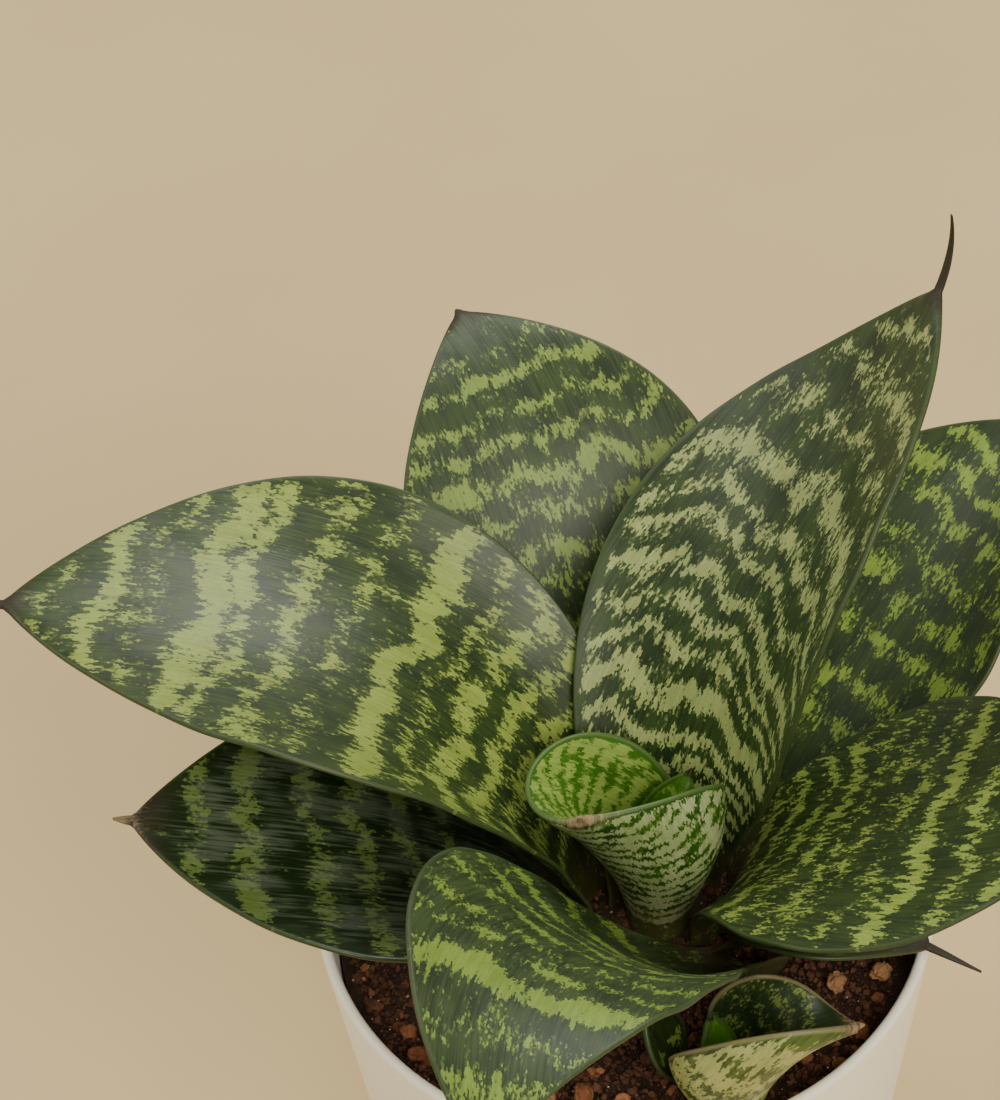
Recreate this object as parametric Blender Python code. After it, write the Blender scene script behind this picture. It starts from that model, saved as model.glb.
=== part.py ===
"""Potted snake plant: a dwarf bird's-nest rosette with one young offset in a plain tapered pot.

Metres, +Z up. The origin is the middle of the pot's flat underside, on the surface it stands on.
The plant's front, where the offset grows, faces -Y.
"""

import math
from dataclasses import dataclass

import bmesh
import bpy
from mathutils import Matrix, Vector

MM = 0.001

# Pot. Each size can be set by itself.
POT_TOP_DIAMETER = 110 * MM
POT_BASE_DIAMETER = 90 * MM
POT_HEIGHT = 100 * MM
POT_WALL = 2.0 * MM
POT_FLOOR = 3.0 * MM
POT_EDGE_RADIUS = 2.5 * MM
DRAIN_HOLES = 6
DRAIN_HOLE_DIAMETER = 3.8 * MM
DRAIN_CIRCLE_DIAMETER = 56 * MM
DRAIN_GROOVE_WIDTH = 5 * MM
DRAIN_GROOVE_DEPTH = 1.2 * MM
DRAIN_GROOVE_INNER_RADIUS = 22 * MM

# Soil and the two short stems set in it.
FIT_GAP = 0.3 * MM
SOIL_DROP = 10 * MM
SOIL_UNEVENNESS = 0.5 * MM
STEM_CENTRE = (5 * MM, 1 * MM)
STEM_DIAMETER = 22 * MM
OFFSET_STEM_DIAMETER = 11 * MM
OFFSET_STEM_TO_RIM = 12 * MM
OFFSET_STEM_BEARING = -73
STEM_DEPTH = 7 * MM
STEM_TOP = 1.1 * MM

# Leaves.
LEAF_THICKNESS = 2.0 * MM
LEAF_EDGE_SHARE = 0.4
LEAF_FOOT_HEIGHT = 2.2 * MM
SPINE_DIAMETER = 1.3 * MM
LEAF_ROWS = 20
SPINE_ROWS = 4
LEAF_COLUMNS = 8

LEAF_GREEN = (0.055, 0.12, 0.045)
YOUNG_GREEN = (0.12, 0.26, 0.05)
CREAM_GREEN = (0.45, 0.5, 0.24)
STEM_BROWN = (0.05, 0.045, 0.02)
SOIL_BROWN = (0.035, 0.016, 0.011)
GRANULE_TAN = (0.4, 0.2, 0.1)
POT_WHITE = (0.85, 0.84, 0.81)


@dataclass(frozen=True)
class Leaf:
    """One leaf, its foot given from its stem's centre, in millimetres and degrees.

    Incline, heading, roll and fold are the control values of a smooth curve from foot to tip:
    the midrib's rise above level, its compass course (0 is +X, 90 is +Y), the blade's turn
    about the midrib and the arc that the blade's cross-section bends through.
    """

    name: str
    foot: tuple
    length: float
    width: float
    incline: tuple
    heading: tuple
    roll: tuple
    fold: tuple
    spine: float = 3.0
    spine_lift: float = 0.0
    spine_turn: float = 0.0
    neck: float = 0.35
    belly: float = 0.55
    colour: tuple = LEAF_GREEN


ROSETTE = (
    Leaf("leaf_heart", (-3, -4), 49, 56, (87, 59, 74, 62), (242, 220, 243), (-30, -3, 27),
         (322, 345, 232, 24), spine=2, neck=0.5, belly=0.5, colour=YOUNG_GREEN),
    Leaf("leaf_bud", (1.4, -0.8), 34, 16, (82, 79, 77, 78), (30, 22, 20), (0, 0, 0),
         (240, 200, 140), spine=1, colour=YOUNG_GREEN),
    Leaf("leaf_upright", (2, 7), 125, 63, (83, 64, 42, 59), (51, 5, 39), (48, -18, -24),
         (90, 88, 8), spine=15, spine_lift=45, spine_turn=10),
    Leaf("leaf_left", (-12, 4), 130, 72, (83, 51, 7, 7), (164, 167, 179), (-14, 10, 0),
         (158, 74, 2), spine=7, neck=0.36),
    Leaf("leaf_right", (14, -2), 94, 61, (83, 22, 34, 46), (-33, -46, -24), (6, -8, 15),
         (83, 24, 10), spine=5),
    Leaf("leaf_back", (-2, 23), 102, 60, (66, 70, 40, 8), (108, 103, 120), (8, -18, 5),
         (79, 50, 14), spine=1),
    Leaf("leaf_back_right", (17, 11), 95, 58, (61, 17, 53, 25), (35, 45, 32), (7, -7, -7),
         (96, 51, 60), spine=2, neck=0.3),
    Leaf("leaf_lower_left", (-15, -6), 94, 56, (74, 38, 21, 11), (204, 188, 176), (2, -3, -8),
         (89, 47, 35), spine=3),
    Leaf("leaf_front", (14, -17), 124, 49, (35, 68, 67, -34), (220, 222, 272), (27, -3, -34),
         (108, 55, 33), spine=4),
    Leaf("leaf_lower_right", (16, -8), 37, 38, (49, 31, 11, -12), (-21, -30, -29), (-11, -12, -14),
         (96, 64, 56), spine=10),
)

OFFSET = (
    Leaf("offset_leaf_right", (5, -6.2), 36, 41.5, (74, 76, 73, 0), (-54, -34, 0, 8), (0, 8, -38, -40),
         (290, 296, 200, 60), spine=1, neck=0.7, belly=0.35, colour=CREAM_GREEN),
    Leaf("offset_leaf_left", (-4, 0.6), 21, 12, (55, 60, 75, 80), (160, 155, 150), (0, 0, 0),
         (120, 90, 60), spine=1, neck=0.2),
    Leaf("offset_bud", (0.5, -1), 20, 8, (85, 85, 85, 85), (120, 120, 120), (0, 0, 0),
         (150, 120, 60), spine=1, colour=YOUNG_GREEN),
)

# Loose granules on the soil: distance along X and Y from the pot's centre, length, height.
GRANULES = (
    (31, -29, 5.5, 3.0),
    (38.5, -29.5, 4.0, 2.4),
    (43.5, -17.5, 4.2, 2.6),
    (34.5, -36, 3.6, 2.4),
    (28, -33.5, 3.2, 2.2),
    (35.5, -19, 4.4, 2.6),
    (-40, -22, 3.2, 2.2),
    (-38.5, -27, 3.6, 2.4),
    (-17, -38, 4.0, 2.8),
    (-10.5, -38, 4.2, 2.8),
    (-4, -40, 3.0, 2.2),
    (-33, 33, 4.0, 2.6),
)
GRANULE_SEGMENTS = 12
SLIVER_START = (26 * MM, -25 * MM)
SLIVER_LENGTH = 5 * MM
SLIVER_DIAMETER = 0.9 * MM
SLIVER_BEARING = 40

POT_STEPS = 72
LIP_STEPS = 5
EDGE_STEPS = 4
SOIL_RINGS = 9


def soil_level():
    return POT_HEIGHT - SOIL_DROP


def outer_radius(height):
    """The pot's outer radius at a height, from its two diameters."""
    share = height / POT_HEIGHT
    return (POT_BASE_DIAMETER + (POT_TOP_DIAMETER - POT_BASE_DIAMETER) * share) / 2


def inner_radius(height):
    return outer_radius(height) - POT_WALL


def offset_centre():
    """The offset's stem stands a set distance in from the rim, which its rolled leaf clears."""
    reach = inner_radius(POT_HEIGHT) - OFFSET_STEM_TO_RIM
    bearing = math.radians(OFFSET_STEM_BEARING)
    return reach * math.cos(bearing), reach * math.sin(bearing)


def clear_scene():
    for obj in list(bpy.data.objects):
        bpy.data.objects.remove(obj)


def principled(name, colour, roughness):
    """A Principled BSDF material of one plain colour."""
    material = bpy.data.materials.new(name)
    material.use_nodes = True
    shader = material.node_tree.nodes["Principled BSDF"]
    shader.inputs["Base Color"].default_value = (*colour, 1.0)
    shader.inputs["Roughness"].default_value = roughness
    shader.inputs["Metallic"].default_value = 0.0
    return material


def add_object(name, bm, material, smooth=True):
    """Turns a bmesh into a linked object with the material."""
    mesh = bpy.data.meshes.new(name)
    bmesh.ops.recalc_face_normals(bm, faces=bm.faces)
    bm.to_mesh(mesh)
    bm.free()
    for polygon in mesh.polygons:
        polygon.use_smooth = smooth
    obj = bpy.data.objects.new(name, mesh)
    obj.data.materials.append(material)
    bpy.context.scene.collection.objects.link(obj)
    return obj


def add_cutter(name, bm):
    """A Boolean cutter: kept out of the render and drawn as wire."""
    mesh = bpy.data.meshes.new(name)
    bmesh.ops.recalc_face_normals(bm, faces=bm.faces)
    bm.to_mesh(mesh)
    bm.free()
    cutter = bpy.data.objects.new(name, mesh)
    cutter.hide_render = True
    cutter.display_type = "WIRE"
    bpy.context.scene.collection.objects.link(cutter)
    return cutter


def cut(obj, cutter):
    modifier = obj.modifiers.new("Cut " + cutter.name, "BOOLEAN")
    modifier.operation = "DIFFERENCE"
    modifier.solver = "EXACT"
    modifier.object = cutter


def arc(centre, radius, start, end, steps):
    """Points on an arc in the XZ plane, angles in degrees."""
    points = []
    for step in range(steps + 1):
        angle = math.radians(start + (end - start) * step / steps)
        points.append((centre[0] + radius * math.cos(angle), centre[1] + radius * math.sin(angle)))
    return points


def turned(name, profile, material):
    """A solid of revolution about Z, from an XZ profile that starts and ends on the axis."""
    bm = bmesh.new()
    verts = [bm.verts.new((x, 0, z)) for x, z in profile]
    for first, second in zip(verts, verts[1:]):
        bm.edges.new((first, second))
    mesh = bpy.data.meshes.new(name)
    bm.to_mesh(mesh)
    bm.free()
    obj = bpy.data.objects.new(name, mesh)
    obj.data.materials.append(material)
    bpy.context.scene.collection.objects.link(obj)
    screw = obj.modifiers.new("Turn", "SCREW")
    screw.steps = POT_STEPS
    screw.render_steps = POT_STEPS
    screw.use_merge_vertices = True
    screw.merge_threshold = 0.00005
    screw.use_smooth_shade = True
    return obj


def build_pot():
    """The pot: tapered wall with a rounded lip, flat underside and grooved drain holes."""
    lip = POT_WALL / 2
    lip_centre = (outer_radius(POT_HEIGHT) - lip, POT_HEIGHT - lip)
    profile = [(0, POT_FLOOR), (inner_radius(POT_FLOOR), POT_FLOOR)]
    profile += arc(lip_centre, lip, 180, 0, LIP_STEPS)
    foot_centre = (outer_radius(0) - POT_EDGE_RADIUS, POT_EDGE_RADIUS)
    profile += arc(foot_centre, POT_EDGE_RADIUS, 0, -90, EDGE_STEPS)
    profile.append((0, 0))
    pot = turned("pot", profile, principled("pot_white", POT_WHITE, 0.35))

    grooves = bmesh.new()
    holes = bmesh.new()
    length = outer_radius(0) - DRAIN_GROOVE_INNER_RADIUS + POT_WALL
    for index in range(DRAIN_HOLES):
        turn = 2 * math.pi * (index + 0.5) / DRAIN_HOLES
        outward = Vector((math.cos(turn), math.sin(turn), 0))
        middle = outward * (DRAIN_GROOVE_INNER_RADIUS + length / 2)
        block = bmesh.ops.create_cube(grooves, size=1)["verts"]
        bmesh.ops.scale(grooves, verts=block, vec=(length, DRAIN_GROOVE_WIDTH, 2 * DRAIN_GROOVE_DEPTH))
        bmesh.ops.rotate(grooves, verts=block, matrix=Matrix.Rotation(turn, 3, "Z"))
        bmesh.ops.translate(grooves, verts=block, vec=middle)
        rod = bmesh.ops.create_cone(
            holes, cap_ends=True, segments=16, radius1=DRAIN_HOLE_DIAMETER / 2,
            radius2=DRAIN_HOLE_DIAMETER / 2, depth=4 * POT_FLOOR)["verts"]
        bmesh.ops.translate(holes, verts=rod, vec=outward * DRAIN_CIRCLE_DIAMETER / 2)
    cut(pot, add_cutter("drain_grooves", grooves))
    cut(pot, add_cutter("drain_holes", holes))
    return pot


def soil_height(x, y):
    """The soil's uneven top: a few slow waves about its level."""
    wave = math.sin(x / (9 * MM) + 0.6) * math.cos(y / (7 * MM))
    wave += math.sin((x + 2 * y) / (13 * MM) + 1.9)
    return soil_level() + SOIL_UNEVENNESS * wave / 2


def stem_profile(diameter, grow):
    """A short stem's side, from its rounded top to its foot, grown outward by a gap."""
    radius = diameter / 2 + grow
    top = soil_level() + STEM_TOP + grow
    bottom = soil_level() - STEM_DEPTH - grow
    corner = 1.2 * MM
    profile = [(0, top)]
    profile += arc((radius - corner, top - corner), corner, 90, 0, 3)
    profile += [(radius, bottom), (0, bottom)]
    return profile


def build_stem(name, centre, diameter):
    """A short upright stem, its lower part set in a pocket in the soil."""
    stem = turned(name, stem_profile(diameter, 0), principled(name + "_bark", STEM_BROWN, 0.8))
    stem.location = (centre[0], centre[1], 0)
    return stem


def build_soil(stems):
    """The soil: it fills the pot up to an uneven top, with a pocket for each stem."""
    bm = bmesh.new()
    bottom = POT_FLOOR + FIT_GAP
    rings = []
    side = inner_radius(bottom) - FIT_GAP
    rings.append([bm.verts.new((*on_circle(side, step), bottom)) for step in range(POT_STEPS)])
    for ring in range(SOIL_RINGS):
        share = 1 - ring / SOIL_RINGS
        verts = []
        for step in range(POT_STEPS):
            edge = inner_radius(soil_level() - SOIL_UNEVENNESS) - 1.3 * FIT_GAP
            x, y = on_circle(edge * share, step)
            verts.append(bm.verts.new((x, y, soil_height(x, y))))
        rings.append(verts)
    for lower, upper in zip(rings, rings[1:]):
        for step in range(POT_STEPS):
            following = (step + 1) % POT_STEPS
            bm.faces.new((lower[step], lower[following], upper[following], upper[step]))
    bm.faces.new(rings[0][::-1])
    middle = bm.verts.new((0, 0, soil_height(0, 0)))
    for step in range(POT_STEPS):
        bm.faces.new((rings[-1][step], rings[-1][(step + 1) % POT_STEPS], middle))
    soil = add_object("soil", bm, principled("soil_brown", SOIL_BROWN, 0.95))
    for centre, diameter in stems:
        pocket = bmesh.new()
        depth = STEM_DEPTH + 10 * MM
        rod = bmesh.ops.create_cone(
            pocket, cap_ends=True, segments=POT_STEPS, radius1=diameter / 2 + FIT_GAP,
            radius2=diameter / 2 + FIT_GAP, depth=depth)["verts"]
        low = soil_level() - STEM_DEPTH - FIT_GAP
        bmesh.ops.translate(pocket, verts=rod, vec=(centre[0], centre[1], low + depth / 2))
        cut(soil, add_cutter("stem_pocket", pocket))
    return soil


def on_circle(radius, step):
    angle = 2 * math.pi * step / POT_STEPS
    return radius * math.cos(angle), radius * math.sin(angle)


def blend(values, share):
    """A smooth curve through control values, first at 0 and last at 1 (Bernstein form)."""
    values = list(values)
    while len(values) > 1:
        values = [a + (b - a) * share for a, b in zip(values, values[1:])]
    return values[0]


def blade_width(leaf, share):
    """The blade's width, measured round its bend: narrow neck, full belly, pointed tip."""
    if share < leaf.belly:
        rise = math.sin(math.pi / 2 * share / leaf.belly) ** 1.6
        return leaf.width * (leaf.neck + (1 - leaf.neck) * rise)
    fall = (share - leaf.belly) / (1 - leaf.belly)
    return leaf.width * max(math.cos(math.pi / 2 * min(fall, 1.0)), 0.0) ** 0.85


def stations(leaf):
    """Each row of the leaf: its distance along, share of the blade and share of the spine."""
    rows = []
    for row in range(LEAF_ROWS + 1):
        share = row / LEAF_ROWS
        rows.append((leaf.length * share, share, 0.0))
    for row in range(1, SPINE_ROWS + 1):
        share = row / SPINE_ROWS
        rows.append((leaf.length + leaf.spine * share, 1.0, share))
    return rows


def midrib_axes(leaf, share, spine_share):
    """The midrib's forward, left and upper-face directions at one station."""
    incline = math.radians(blend(leaf.incline, share) + leaf.spine_lift * spine_share)
    heading = math.radians(blend(leaf.heading, share) + leaf.spine_turn * spine_share)
    roll = math.radians(blend(leaf.roll, share))
    level = Vector((math.cos(heading), math.sin(heading), 0))
    up = Vector((0, 0, 1))
    forward = level * math.cos(incline) + up * math.sin(incline)
    face = up * math.cos(incline) - level * math.sin(incline)
    left = face.cross(forward)
    return (
        forward,
        left * math.cos(roll) + face * math.sin(roll),
        face * math.cos(roll) - left * math.sin(roll),
    )


def build_leaf(leaf, centre, material):
    """One leaf: a grid bent to the midrib and the fold, given its thickness by Solidify."""
    rows = stations(leaf)
    bm = bmesh.new()
    grid = []
    spot = Vector((centre[0] + leaf.foot[0] * MM, centre[1] + leaf.foot[1] * MM,
                   soil_level() + LEAF_FOOT_HEIGHT))
    last_forward = None
    last_distance = 0.0
    edge_shares = []
    for distance, share, spine_share in rows:
        forward, left, face = midrib_axes(leaf, share, spine_share)
        if last_forward is not None:
            spot = spot + (last_forward + forward) / 2 * (distance - last_distance) * MM
        last_forward = forward
        last_distance = distance
        tip_width = SPINE_DIAMETER * (1 - 0.75 * spine_share)
        width = max(blade_width(leaf, share) * MM, tip_width)
        half_fold = max(math.radians(blend(leaf.fold, share)) / 2, 0.01)
        bend = width / 2 / half_fold
        line = []
        for column in range(LEAF_COLUMNS + 1):
            across = 2 * column / LEAF_COLUMNS - 1
            angle = across * half_fold
            point = spot + left * bend * math.sin(angle) + face * bend * (1 - math.cos(angle))
            line.append(bm.verts.new(point))
            full = LEAF_THICKNESS * (1 - (1 - LEAF_EDGE_SHARE) * abs(across) ** 3)
            full = min(full, max(width * 0.8, 0.5 * tip_width), bend)
            edge_shares.append(full / LEAF_THICKNESS)
        grid.append(line)
    for lower, upper in zip(grid, grid[1:]):
        for column in range(LEAF_COLUMNS):
            bm.faces.new((lower[column], lower[column + 1], upper[column + 1], upper[column]))
    obj = add_object(leaf.name, bm, material)
    thickness = obj.vertex_groups.new(name="thickness")
    for index, share in enumerate(edge_shares):
        thickness.add([index], share, "REPLACE")
    solidify = obj.modifiers.new("Thickness", "SOLIDIFY")
    solidify.thickness = LEAF_THICKNESS
    solidify.offset = 0
    solidify.vertex_group = "thickness"
    return obj


def build_granule(index, x, y, length, height):
    """A loose granule that lies on the soil, a little squashed and turned."""
    bm = bmesh.new()
    bmesh.ops.create_icosphere(bm, subdivisions=2, radius=0.5)
    name = f"granule_{index:02d}"
    obj = add_object(name, bm, principled(name + "_clay", GRANULE_TAN, 0.9))
    obj.scale = (length * MM, length * 0.75 * MM, height * MM)
    obj.rotation_euler = (0, 0, math.radians(47 * index))
    obj.location = (x * MM, y * MM, soil_peak(x * MM, y * MM, length * MM / 2) + height / 2 * MM)
    return obj


def soil_peak(x, y, reach):
    """The least height at which something of this reach lies clear of the soil."""
    heights = []
    for step in range(GRANULE_SEGMENTS):
        angle = 2 * math.pi * step / GRANULE_SEGMENTS
        heights.append(soil_height(x + reach / 2 * math.cos(angle), y + reach / 2 * math.sin(angle)))
    heights.append(soil_height(x, y))
    return max(heights) + FIT_GAP


def build_sliver():
    """A thin sliver of bark on the soil."""
    bm = bmesh.new()
    bmesh.ops.create_cone(
        bm, cap_ends=True, segments=8, radius1=SLIVER_DIAMETER / 2, radius2=SLIVER_DIAMETER / 3,
        depth=SLIVER_LENGTH)
    obj = add_object("bark_sliver", bm, principled("bark_red_brown", (0.3, 0.12, 0.06), 0.8))
    obj.rotation_euler = (0, math.radians(90), math.radians(SLIVER_BEARING))
    x, y = SLIVER_START
    height = soil_peak(x, y, SLIVER_LENGTH) + SLIVER_DIAMETER / 2
    obj.location = (x, y, height)
    return obj


def main():
    clear_scene()
    build_pot()
    offset = offset_centre()
    build_soil(((STEM_CENTRE, STEM_DIAMETER), (offset, OFFSET_STEM_DIAMETER)))
    build_stem("stem", STEM_CENTRE, STEM_DIAMETER)
    build_stem("offset_stem", offset, OFFSET_STEM_DIAMETER)
    for leaf in ROSETTE:
        build_leaf(leaf, STEM_CENTRE, principled(leaf.name + "_green", leaf.colour, 0.4))
    for leaf in OFFSET:
        build_leaf(leaf, offset, principled(leaf.name + "_green", leaf.colour, 0.4))
    for index, granule in enumerate(GRANULES, start=1):
        build_granule(index, *granule)
    build_sliver()


main()
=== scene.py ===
"""Potted snake plant: the finished look of a dwarf bird's-nest rosette with one offset.

Sizes are metres, except a leaf's own, which are millimetres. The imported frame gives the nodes'
places, and each piece built here rides on the frame's one body.
"""

import logging
import math
from collections.abc import Sequence
from dataclasses import dataclass, field
from enum import Enum

import bmesh
import bpy
import numpy as np
from mathutils import Matrix, Vector, noise


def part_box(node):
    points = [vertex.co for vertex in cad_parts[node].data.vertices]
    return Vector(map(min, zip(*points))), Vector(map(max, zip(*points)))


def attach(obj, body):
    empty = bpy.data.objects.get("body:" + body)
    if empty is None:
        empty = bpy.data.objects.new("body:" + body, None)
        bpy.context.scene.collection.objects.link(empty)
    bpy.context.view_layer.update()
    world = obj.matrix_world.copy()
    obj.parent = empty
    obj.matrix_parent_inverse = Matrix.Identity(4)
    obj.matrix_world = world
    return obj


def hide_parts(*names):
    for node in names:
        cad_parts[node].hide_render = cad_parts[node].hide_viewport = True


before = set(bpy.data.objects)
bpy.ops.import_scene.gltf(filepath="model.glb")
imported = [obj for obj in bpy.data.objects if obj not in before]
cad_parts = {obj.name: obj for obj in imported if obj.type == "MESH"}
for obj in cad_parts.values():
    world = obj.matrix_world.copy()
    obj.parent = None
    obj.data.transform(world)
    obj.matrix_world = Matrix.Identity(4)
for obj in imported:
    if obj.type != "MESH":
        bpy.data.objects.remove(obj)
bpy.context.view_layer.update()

LOG = logging.getLogger("snake_plant")
MM = 0.001
BODY = "root"
Colour = tuple[float, float, float]
Socket = bpy.types.NodeSocket


# ---------------------------------------------------------------------------- node helpers


class SocketKind(Enum):
    """The kinds of socket that a node group's interface uses."""

    NUMBER = "NodeSocketFloat"
    VECTOR = "NodeSocketVector"
    GEOMETRY = "NodeSocketGeometry"
    WHOLE = "NodeSocketInt"
    MATERIAL = "NodeSocketMaterial"


@dataclass
class Net:
    """Adds nodes to one tree and joins them."""

    tree: bpy.types.NodeTree

    def add(self, kind: str, feeds: dict | None = None, **settings: object) -> bpy.types.Node:
        """Adds one node.

        Args:
            kind: The node's type name.
            feeds: What each input gets: a socket to join, or a plain value.
            settings: Properties of the node itself.

        Returns:
            The new node.
        """
        node = self.tree.nodes.new(kind)
        for key, value in settings.items():
            setattr(node, key, value)
        for key, value in (feeds or {}).items():
            self.feed(node.inputs[key], value)
        return node

    def feed(self, socket: Socket, value: object) -> None:
        """Joins a socket to an input, or sets the input to a plain value."""
        if isinstance(value, Socket):
            self.tree.links.new(value, socket)
        elif socket.type == "RGBA" and len(value) == 3:
            socket.default_value = (*value, 1.0)
        else:
            socket.default_value = value

    def maths(self, operation: str, *values: object, clamp: bool = False) -> Socket:
        """One Math node.

        Args:
            operation: The node's operation.
            values: Its inputs in order, sockets or numbers.
            clamp: Whether the result is held between 0 and 1.

        Returns:
            The result.
        """
        node = self.add("ShaderNodeMath", operation=operation, use_clamp=clamp)
        for socket, value in zip(node.inputs, values):
            self.feed(socket, value)
        return node.outputs[0]

    def vector(self, operation: str, *values: object) -> Socket:
        """One Vector Math node's vector result."""
        node = self.add("ShaderNodeVectorMath", operation=operation)
        for socket, value in zip(node.inputs, values):
            self.feed(socket, value)
        return node.outputs[0]

    def sum(self, *terms: object) -> Socket:
        """The sum of two or more sockets or numbers."""
        total = terms[0]
        for term in terms[1:]:
            total = self.maths("ADD", total, term)
        return total

    def scaled(self, value: object, factor: object) -> Socket:
        """A value times a factor."""
        return self.maths("MULTIPLY", value, factor)

    def centred(self, value: Socket, reach: object) -> Socket:
        """A value about 0.5 turned into one about 0, from minus reach to reach."""
        return self.scaled(self.maths("SUBTRACT", value, 0.5), self.maths("MULTIPLY", reach, 2.0))

    def swing(self, value: Socket, reach: object) -> Socket:
        """A noise value turned into one about 0, mostly from minus reach to reach."""
        return self.scaled(self.maths("SUBTRACT", value, 0.5), self.maths("MULTIPLY", reach, 4.0))

    def smooth(
        self, value: object, low: float, high: float, to: tuple[float, float] = (0.0, 1.0)
    ) -> Socket:
        """A smooth step of a value.

        Args:
            value: What is stepped.
            low: The value at which the step starts.
            high: The value at which it ends.
            to: The results at the start and the end.

        Returns:
            The stepped value.
        """
        start, end = to
        feeds = {"Value": value, "From Min": low, "From Max": high, "To Min": start, "To Max": end}
        return self.add("ShaderNodeMapRange", feeds, interpolation_type="SMOOTHSTEP").outputs[0]

    def split(self, vector: Socket) -> tuple[Socket, Socket, Socket]:
        """A vector's three parts."""
        node = self.add("ShaderNodeSeparateXYZ", {0: vector})
        return node.outputs[0], node.outputs[1], node.outputs[2]

    def joined(self, x: object, y: object, z: object = 0.0) -> Socket:
        """A vector from three parts."""
        return self.add("ShaderNodeCombineXYZ", {0: x, 1: y, 2: z}).outputs[0]

    def stretched(self, vector: Socket, factor: Socket) -> Socket:
        """A vector times a factor."""
        node = self.add("ShaderNodeVectorMath", {0: vector, "Scale": factor}, operation="SCALE")
        return node.outputs[0]

    def fibre_place(
        self, place: Sequence[Socket], *, along: float, across: float, seed: object
    ) -> Socket:
        """A place on a leaf, counted in steps of its own length and width.

        Args:
            place: How far along and across the leaf, in millimetres.
            along: The step's length.
            across: The step's width.
            seed: What sets this pattern apart from others.

        Returns:
            The coordinates.
        """
        steps_along = self.scaled(place[0], 1 / along)
        steps_across = self.scaled(place[1], 1 / across)
        return self.joined(steps_along, steps_across, seed)

    def noise(
        self, vector: Socket, scale: object, detail: float = 2.0, rough: float = 0.5
    ) -> Socket:
        """A Noise Texture's value.

        Args:
            vector: The coordinates.
            scale: Its scale on them.
            detail: How many finer layers it adds.
            rough: How strong each finer layer is.

        Returns:
            A value of about 0.5, mostly from 0.2 to 0.8.
        """
        feeds = {"Vector": vector, "Scale": scale, "Detail": detail, "Roughness": rough}
        return self.add("ShaderNodeTexNoise", feeds).outputs[0]

    def colour_mix(self, factor: object, first: object, second: object, how: str = "MIX") -> Socket:
        """Two colours mixed.

        Args:
            factor: 0 for the first and 1 for the second.
            first: A colour or a socket.
            second: A colour or a socket.
            how: The blend type.

        Returns:
            The mixed colour.
        """
        node = self.add("ShaderNodeMix", data_type="RGBA", blend_type=how)
        self.feed(node.inputs["Factor"], factor)
        self.feed(node.inputs[6], first)
        self.feed(node.inputs[7], second)
        return node.outputs[2]

    def group(self, shared: bpy.types.NodeTree, feeds: dict) -> bpy.types.Node:
        """Places a shared group with its own values."""
        return self.add("ShaderNodeGroup", feeds, node_tree=shared)

    def dress(
        self,
        shader: bpy.types.Node,
        colour: Socket,
        rough: Socket,
        height: Socket,
        depth: float,
        strength: float,
    ) -> None:
        """Feeds a shader its colour, its roughness and its relief.

        Args:
            shader: The Principled shader.
            colour: The base colour.
            rough: The roughness.
            height: The relief, from about 0 to 1.
            depth: The relief's depth in metres.
            strength: How much of it shows.
        """
        self.feed(shader.inputs["Base Color"], colour)
        self.feed(shader.inputs["Roughness"], rough)
        feeds = {"Height": height, "Distance": depth, "Strength": strength}
        bump = self.add("ShaderNodeBump", feeds)
        self.feed(shader.inputs["Normal"], bump.outputs["Normal"])


def new_group(
    name: str,
    tree_type: str,
    inputs: dict[str, tuple[SocketKind, object]],
    outputs: dict[str, SocketKind],
) -> tuple[Net, bpy.types.Node, bpy.types.Node]:
    """Makes an empty node group with its interface.

    Args:
        name: The group's name.
        tree_type: The type of tree.
        inputs: Each input's kind and first value.
        outputs: Each output's kind.

    Returns:
        The tree's net, its input node and its output node.
    """
    tree = bpy.data.node_groups.new(name, tree_type)
    for label, (kind, value) in inputs.items():
        socket = tree.interface.new_socket(label, in_out="INPUT", socket_type=kind.value)
        if value is not None:
            socket.default_value = value
    for label, kind in outputs.items():
        tree.interface.new_socket(label, in_out="OUTPUT", socket_type=kind.value)
    net = Net(tree)
    return net, net.add("NodeGroupInput"), net.add("NodeGroupOutput")


# ---------------------------------------------------------------------------- shared effects


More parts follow.
